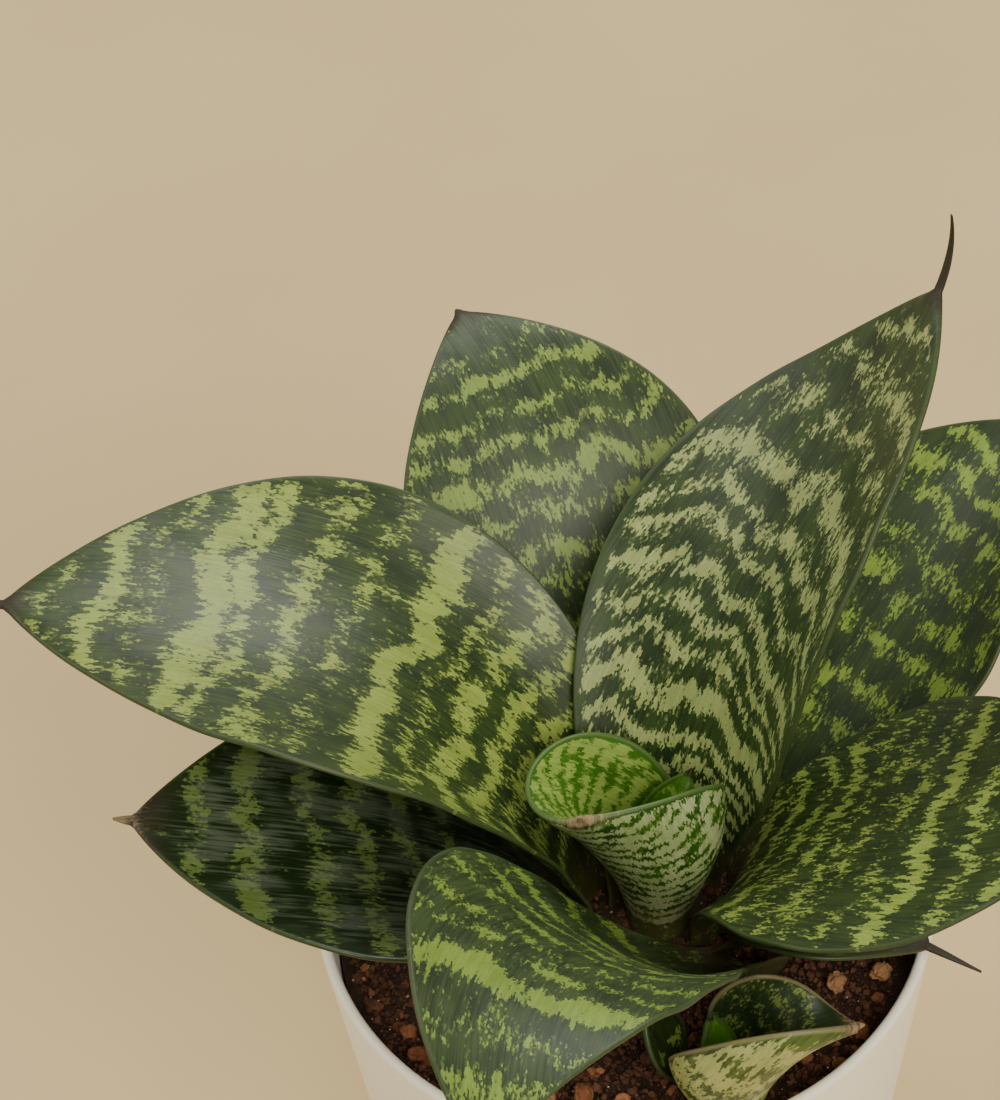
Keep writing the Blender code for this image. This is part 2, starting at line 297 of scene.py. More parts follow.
class SharedEffects:
    """The shader node groups that more than one finish uses, each built once."""

    SEED_SHIFT = 17.3

    def __init__(self) -> None:
        """Builds every group."""
        self.cells = self._leaf_cells()
        self.course = self._leaf_course()
        self.mask = self._leaf_mask()
        self.grain = self._leaf_grain()
        self.mottle = self._mottle()

    @staticmethod
    def _leaf_cells() -> bpy.types.NodeTree:
        """Short cells along the leaf's fibres: each cell takes one place and one dice throw."""
        number, vector = SocketKind.NUMBER, SocketKind.VECTOR
        net, given, out = new_group(
            "leaf_cells",
            "ShaderNodeTree",
            {
                "Place": (vector, None),
                "Seed": (number, 0.0),
                "Length": (number, 1.0),
                "Width": (number, 0.4),
            },
            {"Cell": vector, "Dice": number},
        )
        along, across, margin = net.split(given.outputs["Place"])
        shift = net.scaled(given.outputs["Seed"], SharedEffects.SEED_SHIFT)
        spot = net.joined(
            net.maths("DIVIDE", along, given.outputs["Length"]),
            net.sum(net.maths("DIVIDE", across, given.outputs["Width"]), shift),
        )
        feeds = {"Vector": spot, "Scale": 1.0}
        cells = net.add("ShaderNodeTexVoronoi", feeds, voronoi_dimensions="2D")
        cell_x, cell_y, _ = net.split(cells.outputs["Position"])
        cell = net.joined(
            net.scaled(cell_x, given.outputs["Length"]),
            net.scaled(net.maths("SUBTRACT", cell_y, shift), given.outputs["Width"]),
            margin,
        )
        net.feed(out.inputs["Cell"], cell)
        net.feed(out.inputs["Dice"], net.split(cells.outputs["Color"])[0])
        return net.tree

    @staticmethod
    def _leaf_course() -> bpy.types.NodeTree:
        """How far along its leaf a cell lies, as the bands run: tilted, arched, wandering."""
        number, vector = SocketKind.NUMBER, SocketKind.VECTOR
        net, given, out = new_group(
            "leaf_course",
            "ShaderNodeTree",
            {
                "Cell": (vector, None),
                "Seed": (number, 0.0),
                "Tilt": (number, 0.0),
                "Arch": (number, 0.0),
                "Spread": (number, 20.0),
                "Wander": (number, 2.0),
                "Streak": (number, 1.0),
            },
            {"Course": number},
        )
        along, across, _ = net.split(given.outputs["Cell"])
        seed = given.outputs["Seed"]
        slow = net.fibre_place((along, across), along=38, across=13, seed=seed)
        wander = net.swing(net.noise(slow, 1.0, 1.0), given.outputs["Wander"])
        fibres = net.fibre_place((along, across), along=16, across=0.9, seed=net.sum(seed, 40.0))
        streak = net.swing(net.noise(fibres, 1.0, 2.0, 0.6), given.outputs["Streak"])
        share = net.maths("DIVIDE", across, given.outputs["Spread"])
        arch = net.scaled(net.maths("MULTIPLY", share, share), given.outputs["Arch"])
        tilt = net.scaled(across, given.outputs["Tilt"])
        net.feed(out.inputs["Course"], net.sum(along, net.scaled(tilt, -1.0), arch, wander, streak))
        return net.tree

    @staticmethod
    def _leaf_mask() -> bpy.types.NodeTree:
        """Turns a band density into ragged, speckled patches with a thin halo of specks."""
        number, vector = SocketKind.NUMBER, SocketKind.VECTOR
        net, given, out = new_group(
            "leaf_mask",
            "ShaderNodeTree",
            {
                "Density": (number, 0.5),
                "Cell": (vector, None),
                "Dice": (number, 0.5),
                "Seed": (number, 0.0),
                "Patch": (number, 0.2),
                "Ragged": (number, 0.2),
                "Dither": (number, 0.1),
                "Plain Edge": (number, 1.0),
            },
            {"Band": number, "Halo": number},
        )
        along, across, margin = net.split(given.outputs["Cell"])
        seed = given.outputs["Seed"]
        wide = net.fibre_place((along, across), along=8, across=4.5, seed=net.sum(seed, 7.0))
        patch = net.swing(net.noise(wide, 1.0, 3.0, 0.6), given.outputs["Patch"])
        fine = net.fibre_place((along, across), along=1.9, across=0.85, seed=net.sum(seed, 23.0))
        ragged = net.swing(net.noise(fine, 1.0, 4.0, 0.75), given.outputs["Ragged"])
        dither = net.centred(given.outputs["Dice"], given.outputs["Dither"])
        frayed = net.sum(margin, net.scaled(ragged, 2.5))
        inward = net.maths("DIVIDE", frayed, given.outputs["Plain Edge"])
        plain_rim = net.smooth(inward, 0.2, 1.0, (-0.6, 0.0))
        level = net.sum(given.outputs["Density"], patch, ragged, dither, plain_rim)
        net.feed(out.inputs["Band"], net.smooth(level, 0.47, 0.53))
        specked = net.sum(level, net.scaled(dither, 0.8))
        net.feed(out.inputs["Halo"], net.smooth(specked, 0.36, 0.47))
        return net.tree

    @staticmethod
    def _leaf_grain() -> bpy.types.NodeTree:
        """The leaf's fine relief and the tone that follows its fibres."""
        number, vector = SocketKind.NUMBER, SocketKind.VECTOR
        net, given, out = new_group(
            "leaf_grain",
            "ShaderNodeTree",
            {"Place": (vector, None), "Seed": (number, 0.0)},
            {"Height": number, "Tone": number},
        )
        along, across, _ = net.split(given.outputs["Place"])
        seed = given.outputs["Seed"]
        fibres = net.fibre_place((along, across), along=11, across=0.55, seed=seed)
        fibre = net.noise(fibres, 1.0, 3.0, 0.6)
        wrinkles = net.fibre_place((along, across), along=1.3, across=4.5, seed=net.sum(seed, 3.0))
        wrinkle = net.noise(wrinkles, 1.0, 2.0)
        slow = net.fibre_place((along, across), along=7, across=5, seed=net.sum(seed, 9.0))
        swell = net.noise(slow, 1.0, 1.0)
        height = net.sum(net.scaled(fibre, 0.5), net.scaled(wrinkle, 0.3), net.scaled(swell, 1.6))
        net.feed(out.inputs["Height"], height)
        net.feed(out.inputs["Tone"], net.sum(net.scaled(fibre, 0.6), net.scaled(swell, 0.4)))
        return net.tree

    @staticmethod
    def _mottle() -> bpy.types.NodeTree:
        """Blotches and pits for soil, clay, bark and pot: a slow tone, a fine tone and a relief."""
        number, vector = SocketKind.NUMBER, SocketKind.VECTOR
        net, given, out = new_group(
            "mottle",
            "ShaderNodeTree",
            {"Place": (vector, None), "Blotch": (number, 200.0), "Pit": (number, 2500.0)},
            {"Slow": number, "Fine": number, "Height": number},
        )
        place = given.outputs["Place"]
        slow = net.noise(place, given.outputs["Blotch"], 3.0)
        fine = net.noise(place, given.outputs["Pit"], 4.0, 0.65)
        pits = net.add("ShaderNodeTexVoronoi", {"Vector": place, "Scale": given.outputs["Pit"]})
        net.feed(out.inputs["Slow"], slow)
        net.feed(out.inputs["Fine"], fine)
        net.feed(out.inputs["Height"], net.sum(fine, net.scaled(pits.outputs["Distance"], 0.6)))
        return net.tree


def new_material(name: str) -> tuple[bpy.types.Material, Net, bpy.types.Node]:
    """An empty material with its Principled shader.

    Args:
        name: The material's name.

    Returns:
        The material, its net and the shader node.
    """
    material = bpy.data.materials.new(name)
    material.use_nodes = True
    net = Net(material.node_tree)
    return material, net, material.node_tree.nodes["Principled BSDF"]


# ---------------------------------------------------------------------------- leaf finish


@dataclass(frozen=True)
class Band:
    """One pale band across a leaf: its middle and width as shares of the blade, its strength."""

    at: float
    width: float
    strength: float

    def stops(self, ground: float) -> dict[float, float]:
        """The density at the places where this band rises from the ground and sinks back."""
        densities = (ground, self.strength, self.strength, ground)
        places = (round(self.at + share * self.width, 4) for share in (-0.8, -0.25, 0.25, 0.8))
        return {min(max(at, 0.001), 0.999): density for at, density in zip(places, densities)}


class Ground(Enum):
    """How densely pale specks fill the ground between the bands."""

    BARE = 0.1
    SPARSE = 0.2


@dataclass(frozen=True)
class LeafFinish:
    """The finish of one leaf: dark ground, pale ragged bands, plain rim, brown tip.

    Arch, wander and streak say how far the bands stray, in millimetres, and tilt is their slant.
    Spread is the half width at which the arch is reached. Patch, ragged and dither break up the
    bands' edges. Cells, the brown tip and the plain edge are measured in millimetres, the relief
    in metres. Blush, dry tip, pale under and painted sheen are shares from 0 to 1; the painted
    sheen is a grey gloss streak painted into the colour.
    """

    seed: float
    bands: tuple[Band, ...]
    ground: Ground = Ground.SPARSE
    dark: Colour = (0.03, 0.054, 0.009)
    light: Colour = (0.27, 0.35, 0.068)
    deep: Colour = (0.012, 0.026, 0.007)
    tilt: float = 0.0
    arch: float = 0.0
    spread: float = 30.0
    wander: float = 4.0
    streak: float = 1.6
    patch: float = 0.38
    ragged: float = 0.4
    dither: float = 0.07
    cell_length: float = 0.5
    cell_width: float = 0.27
    gloss: float = 0.36
    tip: float = 4.0
    dry_tip: float = 0.0
    blush: float = 0.3
    pale_under: float = 0.0
    plain_edge: float = 0.9
    under_light: Colour | None = None
    under_dark: Colour | None = None
    rim: Colour = (0.04, 0.065, 0.018)
    # Strength of the painted sheen: grey gloss streaks painted into the leaf's colour.
    painted_sheen: float = 0.0
    sheen_grey: Colour = (0.15, 0.175, 0.13)
    foot_brown: Colour = (0.16, 0.1, 0.045)
    tip_brown: Colour = (0.022, 0.016, 0.008)
    dry_tan: Colour = (0.34, 0.24, 0.13)
    relief: float = 0.00012
    bands_per_ramp: int = 7

    def density(self, net: Net, share: Socket) -> Socket:
        """The band density along the blade, as a ramp.

        Args:
            net: The material's net.
            share: Share of the blade, 0 at the foot and 1 at the tip.

        Returns:
            The density, above 0.5 where a band is.
        """
        low = self.ground.value
        ramps = max(2, math.ceil(len(self.bands) / self.bands_per_ramp))
        total = None
        for chunk in filter(None, (self.bands[first::ramps] for first in range(ramps))):
            stops = {0.0: low + 0.06, 1.0: 0.05}
            for band in chunk:
                stops |= band.stops(low)
            ramp = net.add("ShaderNodeValToRGB", {"Fac": share})
            places = sorted(stops)
            elements = ramp.color_ramp.elements
            while len(elements) < len(places):
                elements.new(0.5)
            for element, at in zip(elements, places):
                element.position = at
            for element, at in zip(elements, places):
                element.color = (*[stops[at]] * 3, 1.0)
            level = ramp.outputs["Color"]
            total = level if total is None else net.maths("MAXIMUM", total, level)
        return total

    def material(self, name: str, length: float, effects: SharedEffects) -> bpy.types.Material:
        """Builds the leaf's material.

        Args:
            name: The material's name.
            length: The blade's length in millimetres.
            effects: The shared node groups.

        Returns:
            The material.
        """
        material, net, shader = new_material(name)
        place = net.add("ShaderNodeAttribute", attribute_name="leaf_place").outputs["Vector"]
        side = net.add("ShaderNodeAttribute", attribute_name="leaf_side").outputs["Fac"]
        along, _, margin = net.split(place)
        cells = net.group(
            effects.cells,
            {
                "Place": place,
                "Seed": self.seed,
                "Length": self.cell_length,
                "Width": self.cell_width,
            },
        )
        cell, dice = cells.outputs["Cell"], cells.outputs["Dice"]
        course = net.group(
            effects.course,
            {
                "Cell": cell,
                "Seed": self.seed,
                "Tilt": self.tilt,
                "Arch": self.arch,
                "Spread": self.spread,
                "Wander": self.wander,
                "Streak": self.streak,
            },
        ).outputs["Course"]
        density = self.density(net, net.scaled(course, 1 / length))
        under = net.smooth(side, -0.2, 0.2, (1.0, 0.0))
        mask = net.group(
            effects.mask,
            {
                "Density": net.sum(density, net.scaled(under, self.pale_under)),
                "Cell": cell,
                "Dice": dice,
                "Seed": self.seed,
                "Patch": self.patch,
                "Ragged": self.ragged,
                "Dither": self.dither,
                "Plain Edge": self.plain_edge,
            },
        )
        grain = net.group(effects.grain, {"Place": place, "Seed": self.seed})
        tone = grain.outputs["Tone"]
        colour = self.banded(net, mask, under, tone, dice)
        colour, rough = self.weathered(net, colour, tone, dice, (along, margin, length))
        net.dress(shader, colour, rough, grain.outputs["Height"], self.relief, 0.8)
        shader.inputs["Specular IOR Level"].default_value = 0.5
        shader.inputs["IOR"].default_value = 1.45
        return material

    def banded(
        self, net: Net, mask: bpy.types.Node, under: Socket, tone: Socket, dice: Socket
    ) -> Socket:
        """The living leaf's colour: the dark ground, the specks' halo and the pale bands.

        Args:
            net: The material's net.
            mask: The placed mask group.
            under: 0 on the upper face and 1 on the underside.
            tone: The tone that follows the fibres.
            dice: Each cell's dice throw.

        Returns:
            The colour.
        """
        halfway = tuple(0.7 * dark + 0.3 * light for dark, light in zip(self.dark, self.light))
        dark = net.colour_mix(under, self.dark, self.under_dark or self.dark)
        light = net.colour_mix(under, self.light, self.under_light or self.light)
        ground = net.colour_mix(net.smooth(tone, 0.38, 0.62), self.deep, dark)
        ground = net.colour_mix(net.scaled(mask.outputs["Halo"], 0.75), ground, halfway)
        shaded = net.colour_mix(1.0, light, (0.72, 0.75, 0.66), "MULTIPLY")
        pale = net.colour_mix(net.smooth(tone, 0.36, 0.64), shaded, light)
        pale = net.colour_mix(net.scaled(dice, 0.25), pale, halfway)
        return net.colour_mix(mask.outputs["Band"], ground, pale)

    def weathered(
        self,
        net: Net,
        colour: Socket,
        tone: Socket,
        dice: Socket,
        place: tuple[Socket, Socket, float],
    ) -> tuple[Socket, Socket]:
        """Adds the plain rim, the painted sheen, the foot's blush, the brown tip and its dry end.

        Args:
            net: The material's net.
            colour: The living leaf's colour.
            tone: The tone that follows the fibres.
            dice: Each cell's dice throw.
            place: How far along the leaf and in from its margin, and the blade's length.

        Returns:
            The colour and the roughness.
        """
        along, margin, length = place
        rim = net.smooth(margin, 0.05, 0.6, (1.0, 0.0))
        colour = net.colour_mix(net.scaled(rim, 0.65), colour, self.rim)
        # Painted sheen: grey streaks along the fibres, kept off the margin, painted into the colour
        # in place of a gloss highlight.
        inside = net.smooth(margin, 1.0, 6.0, (0.0, self.painted_sheen))
        sheen_streaks = net.maths("MULTIPLY", net.smooth(tone, 0.44, 0.6), inside)
        colour = net.colour_mix(sheen_streaks, colour, self.sheen_grey)
        foot = net.smooth(net.sum(along, net.scaled(tone, 10.0)), 4.0, 24.0, (self.blush, 0.0))
        colour = net.colour_mix(foot, colour, self.foot_brown)
        to_tip = net.maths("SUBTRACT", length, along)
        ragged_tip = net.sum(to_tip, net.scaled(net.maths("SUBTRACT", tone, 0.5), 9.0))
        brown = net.smooth(ragged_tip, 0.15 * self.tip, self.tip, (1.0, 0.0))
        colour = net.colour_mix(net.scaled(brown, 0.9), colour, self.tip_brown)
        dry = net.smooth(net.sum(ragged_tip, net.scaled(dice, 2.0)), 0.5, 3.5, (self.dry_tip, 0.0))
        colour = net.colour_mix(dry, colour, self.dry_tan)
        worn = net.sum(net.scaled(tone, 0.16), net.scaled(brown, 0.15), net.scaled(dry, 0.3))
        return colour, net.sum(self.gloss - 0.05, worn)


# ---------------------------------------------------------------------------- mesh helpers


def mesh_from(work: bmesh.types.BMesh, name: str, outward: bool = True) -> bpy.types.Mesh:
    """Ends a mesh in the making.

    Args:
        work: The mesh in the making, which is freed.
        name: The finished mesh's name.
        outward: Whether its faces are turned to point outwards.

    Returns:
        The finished mesh.
    """
    if outward:
        bmesh.ops.recalc_face_normals(work, faces=work.faces)
    mesh = bpy.data.meshes.new(name)
    work.to_mesh(mesh)
    work.free()
    return mesh


def linked(name: str, content: bpy.types.ID) -> bpy.types.Object:
    """A new object in the scene, with its mesh, lamp or camera."""
    thing = bpy.data.objects.new(name, content)
    bpy.context.scene.collection.objects.link(thing)
    return thing


def wall_between(work: bmesh.types.BMesh, first: Sequence, second: Sequence) -> None:
    """Joins two rings of points with a wall of four-sided faces."""
    for step in range(len(first)):
        after = (step + 1) % len(first)
        work.faces.new((first[step], first[after], second[after], second[step]))


def full_turn(steps: int) -> list[float]:
    """Even steps of a full turn, in radians."""
    return [2 * math.pi * step / steps for step in range(steps)]


def arc(
    centre: tuple[float, float], radius: float, start: float, end: float, steps: int
) -> list[tuple[float, float]]:
    """Points on an arc in a half section, angles in degrees."""
    angles = [math.radians(start + (end - start) * step / steps) for step in range(steps + 1)]
    return [(centre[0] + radius * math.cos(a), centre[1] + radius * math.sin(a)) for a in angles]


def lathe(name: str, profile: Sequence[tuple[float, float]], steps: int) -> bpy.types.Mesh:
    """A closed solid of revolution about Z.

    Args:
        name: The mesh's name.
        profile: Radius and height of each point, first and last on the axis.
        steps: How many points each ring has.

    Returns:
        The mesh.
    """
    work = bmesh.new()
    poles = [work.verts.new((0, 0, profile[0][1])), work.verts.new((0, 0, profile[-1][1]))]
    turns = full_turn(steps)
    rings = [
        [work.verts.new((radius * math.cos(t), radius * math.sin(t), height)) for t in turns]
        for radius, height in profile[1:-1]
    ]
    for first, second in zip(rings, rings[1:]):
        wall_between(work, first, second)
    for step in range(steps):
        after = (step + 1) % steps
        work.faces.new((poles[0], rings[0][step], rings[0][after]))
        work.faces.new((poles[1], rings[-1][after], rings[-1][step]))
    return mesh_from(work, name)


def baked(source: bpy.types.Object, name: str) -> bpy.types.Mesh:
    """The object's mesh with its modifiers applied."""
    graph = bpy.context.evaluated_depsgraph_get()
    mesh = bpy.data.meshes.new_from_object(source.evaluated_get(graph))
    mesh.name = name
    return mesh


def smooth_all(mesh: bpy.types.Mesh) -> None:
    """Shades a mesh smooth."""
    mesh.polygons.foreach_set("use_smooth", [True] * len(mesh.polygons))


def smooth_by_angle(mesh: bpy.types.Mesh, degrees: float) -> None:
    """Shades a mesh smooth, with edges sharper than an angle left crisp."""
    smooth_all(mesh)
    mesh.set_sharp_from_angle(angle=math.radians(degrees))


def added(mesh: bpy.types.Mesh, name: str, nodes: Sequence[str]) -> bpy.types.Object:
    """Makes a finished mesh a piece of the plant.

    Args:
        mesh: The piece's mesh, in place.
        name: The piece's name.
        nodes: The CAD nodes that it stands for.

    Returns:
        The piece.
    """
    mesh.name = name
    piece = linked(name, mesh)
    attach(piece, BODY)
    if nodes:
        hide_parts(*nodes)
    LOG.info("%s: %d faces", name, len(mesh.polygons))
    return piece


# ---------------------------------------------------------------------------- leaf shapes


def blend(values: Sequence[float], share: np.ndarray) -> np.ndarray:
    """A smooth curve through control values, first at 0 and last at 1 (Bernstein form)."""
    line = [np.full_like(share, value) for value in values]
    while len(line) > 1:
        line = [a + (b - a) * share for a, b in zip(line, line[1:])]
    return line[0]


@dataclass
class Leaf:
    """One leaf, laid out on the same curves as its CAD node, with a finer blade and rounded rim.

    The foot is in millimetres from the stem's centre, and angles are in degrees: the midrib's
    rise, its course, the blade's turn about it and the arc its cross-section bends through. The
    ripple's steps are the lengths of its slow and its fast wave, the swells' steps their length
    and width. Fullness shapes the blade's outline below and above its belly.
    """

    name: str
    foot: tuple[float, float]
    length: float
    width: float
    incline: tuple[float, ...]
    heading: tuple[float, ...]
    roll: tuple[float, ...]
    fold: tuple[float, ...]
    finish: LeafFinish
    slot: str = "leaf"
    spine: float = 3.0
    spine_lift: float = 0.0
    spine_turn: float = 0.0
    neck: float = 0.35
    belly: float = 0.55
    ripple: float = 0.3
    ripple_steps: tuple[float, float] = (4.3, 2.3)
    swell_steps: tuple[float, float] = (12.0, 22.0)
    fullness: tuple[float, float] = (1.6, 0.85)
    root: float = 4.0
    thickness: float = 2.0
    rim_share: float = 0.4
    rim_roundness: float = 0.7
    crowding: float = 0.86
    spine_diameter: float = 1.3
    rows: int = 120
    spine_rows: int = 14
    columns: int = 30

    def blade_width(self, share: np.ndarray) -> np.ndarray:
        """The blade's width round its bend: narrow neck, full belly, pointed tip."""
        rise = np.sin(np.pi / 2 * np.clip(share / self.belly, 0, 1)) ** self.fullness[0]
        fall = np.clip((share - self.belly) / (1 - self.belly), 0, 1)
        low = self.neck + (1 - self.neck) * rise
        high = np.clip(np.cos(np.pi / 2 * fall), 0, 1) ** self.fullness[1]
        return self.width * np.where(share < self.belly, low, high)

    def stations(self) -> tuple[np.ndarray, np.ndarray, np.ndarray]:
        """Each row's distance from the foot, share of the blade and share of the spine."""
        root = np.linspace(-self.root, 0, 5)[:-1]
        blade = np.linspace(0, 1, self.rows + 1)
        spine = np.linspace(0, 1, self.spine_rows + 1)[1:]
        distance = np.concatenate([root, blade * self.length, self.length + spine * self.spine])
        share = np.clip(distance / self.length, 0, 1)
        spine_share = np.clip((distance - self.length) / self.spine, 0, 1)
        return distance, share, spine_share

    def axes(
        self, share: np.ndarray, spine_share: np.ndarray
    ) -> tuple[np.ndarray, np.ndarray, np.ndarray]:
        """The midrib's forward, left and upper-face directions at each station."""
        incline = np.radians(blend(self.incline, share) + self.spine_lift * spine_share)
        heading = np.radians(blend(self.heading, share) + self.spine_turn * spine_share)
        roll = np.radians(blend(self.roll, share))[:, None]
        level = np.stack([np.cos(heading), np.sin(heading), np.zeros_like(heading)], axis=1)
        up = np.array([0.0, 0.0, 1.0])
        rise, flat = np.sin(incline)[:, None], np.cos(incline)[:, None]
        forward = level * flat + up * rise
        face = up * flat - level * rise
        left = np.cross(face, forward)
        sine, cosine = np.sin(roll), np.cos(roll)
        return forward, left * cosine + face * sine, face * cosine - left * sine

    def midrib(self, start: Vector, distance: np.ndarray, forward: np.ndarray) -> np.ndarray:
        """The midrib's points, in metres, summed from the foot."""
        steps = np.diff(distance)[:, None] * (forward[1:] + forward[:-1]) / 2 * MM
        points = np.concatenate([np.zeros((1, 3)), np.cumsum(steps, axis=0)])
        foot_row = int(np.argmin(np.abs(distance)))
        return points - points[foot_row] + np.array(start)

    def relief(self, across: np.ndarray, distance: np.ndarray) -> np.ndarray:
        """How far each point stands off the plain blade, in metres: a wavy rim and soft swells."""
        seed = self.finish.seed
        along = distance[:, None]
        edge = np.abs(across)[None, :] ** 2.5
        slow, fast = self.ripple_steps
        wave = np.sin(along / slow + 2.1 * seed + across[None, :])
        wave = wave + 0.6 * np.sin(along / fast + seed)
        swell = np.zeros((len(distance), len(across)))
        for row, place in enumerate(distance):
            for column, share in enumerate(across):
                step_along, step_across = self.swell_steps
                spot = Vector((place / step_along, share * self.width / step_across, seed * 3.7))
                swell[row, column] = noise.noise(spot)
        fade = np.clip((self.length - along) / (0.25 * self.length), 0, 1)
        return (self.ripple * 0.5 * edge * wave + 0.28 * self.ripple / 0.3 * swell) * fade * MM

    def rings(self, start: Vector) -> tuple[np.ndarray, np.ndarray, np.ndarray]:
        """The closed ring of points round the leaf at each station.

        Args:
            start: The foot's place.

        Returns:
            Points, their place on the leaf and their side, each with one row per station.
        """
        distance, share, spine_share = self.stations()
        forward, left, face = self.axes(share, spine_share)
        midrib = self.midrib(start, distance, forward)
        tip_width = self.spine_diameter * (1 - 0.75 * spine_share)
        width = np.maximum(self.blade_width(share), tip_width)
        half_fold = np.maximum(np.radians(blend(self.fold, share)) / 2, 0.01)
        bend = width / 2 / half_fold
        turns = np.linspace(-0.5, 0.5, self.columns + 1) * np.pi * self.crowding
        across = np.sin(turns) / math.sin(self.crowding / 2 * np.pi)
        angle = across[None, :] * half_fold[:, None]
        sine, cosine = np.sin(angle)[..., None], np.cos(angle)[..., None]
        reach = (bend * MM)[:, None, None]
        left, face = left[:, None, :], face[:, None, :]
        normal = face * cosine - left * sine
        middle = midrib[:, None, :] + left * reach * sine + face * reach * (1 - cosine)
        middle = middle + normal * self.relief(across, distance)[..., None]
        full = self.thickness * (1 - (1 - self.rim_share) * np.abs(across) ** 3)[None, :]
        limit = np.minimum(np.maximum(width * 0.8, 0.5 * tip_width), bend)[:, None]
        half = (np.minimum(full, limit) / 2 * MM)[..., None]
        outward = (left * cosine + face * sine) * self.rim_roundness

        def rim(edge: slice, side: float, degrees: Sequence[float]) -> list[np.ndarray]:
            """The rows of points that round off one edge, each at its own angle."""
            up, out, inner = normal[:, edge], side * outward[:, edge], middle[:, edge]
            return [
                inner + (up * math.sin(angle) + out * math.cos(angle)) * half[:, edge]
                for angle in np.radians(degrees)
            ]

        right_rim = rim(slice(0, 1), -1.0, (-55.0, 0.0, 55.0))
        left_rim = rim(slice(-1, None), 1.0, (55.0, 0.0, -55.0))
        upper, lower = middle + normal * half, middle - normal * half
        points = np.concatenate([upper, *left_rim, lower[:, ::-1], *right_rim], axis=1)
        return points, *self.pattern_place(distance, width, across)

    @staticmethod
    def pattern_place(
        distance: np.ndarray, width: np.ndarray, across: np.ndarray
    ) -> tuple[np.ndarray, np.ndarray]:
        """Where each point of the rings lies on the leaf, for the finish to follow.

        Args:
            distance: Each row's distance from the foot.
            width: Each row's width.
            across: Each column's place, from -1 at the right edge to 1 at the left.

        Returns:
            Millimetres along, across and in from the margin, and the side: 1 above, -1 below.
        """
        count = len(across)
        along = np.broadcast_to(distance[:, None], (len(distance), count))
        crosswise = across[None, :] * width[:, None] / 2
        margin = width[:, None] / 2 * (1 - np.abs(across))[None, :]
        place = np.stack([along, crosswise, margin], axis=-1)
        rim_left, rim_right = place[:, -1:], place[:, :1]
        placed = np.concatenate([place, *[rim_left] * 3, place[:, ::-1], *[rim_right] * 3], axis=1)
        over, under = [0.5, 0.0, -0.5], [-0.5, 0.0, 0.5]
        one = np.concatenate([np.ones(count), over, -np.ones(count), under])
        return placed, np.broadcast_to(one, placed.shape[:2])

    def build(self, start: Vector, effects: SharedEffects) -> bpy.types.Object:
        """Builds the leaf's mesh and dresses it.

        Args:
            start: The foot's place in the row frame.
            effects: The shared node groups.

        Returns:
            The leaf.
        """
        points, placed, side = self.rings(start)
        rows, ring = points.shape[:2]
        index = np.arange(rows * ring).reshape(rows, ring)
        following = np.roll(index, -1, axis=1)
        quads = np.stack([index[:-1], index[1:], following[1:], following[:-1]], axis=-1)
        faces = [*quads.reshape(-1, 4).tolist(), index[0].tolist(), index[-1][::-1].tolist()]
        mesh = bpy.data.meshes.new(self.name)
        mesh.from_pydata(points.reshape(-1, 3).tolist(), [], faces)
        place = mesh.attributes.new("leaf_place", "FLOAT_VECTOR", "POINT")
        place.data.foreach_set("vector", placed.reshape(-1).astype(np.float32))
        sides = mesh.attributes.new("leaf_side", "FLOAT", "POINT")
        sides.data.foreach_set("value", side.reshape(-1).astype(np.float32))
        work = bmesh.new()
        work.from_mesh(mesh)
        bmesh.ops.recalc_face_normals(work, faces=work.faces)
        work.to_mesh(mesh)
        work.free()
        smooth_all(mesh)
        mesh.update()
        mesh.materials.append(self.finish.material(self.name + "_skin", self.length, effects))
        return added(mesh, self.name + "_blade", [self.name])


# ---------------------------------------------------------------------------- the plant


def band_row(*rows: tuple[float, float, float]) -> tuple[Band, ...]:
    """Bands from plain (middle, width, strength) rows."""
    return tuple(Band(*row) for row in rows)


def even_bands(first: float, last: float, count: int, strength: float) -> tuple[Band, ...]:
    """Narrow bands at an even pitch.

    Args:
        first: The first band's middle, as a share of the blade.
        last: The last band's middle.
        count: How many bands.
        strength: Their strength.

    Returns:
        The bands.
    """
    pitch = (last - first) / (count - 1)
    return tuple(Band(first + pitch * index, 0.72 * pitch, strength) for index in range(count))


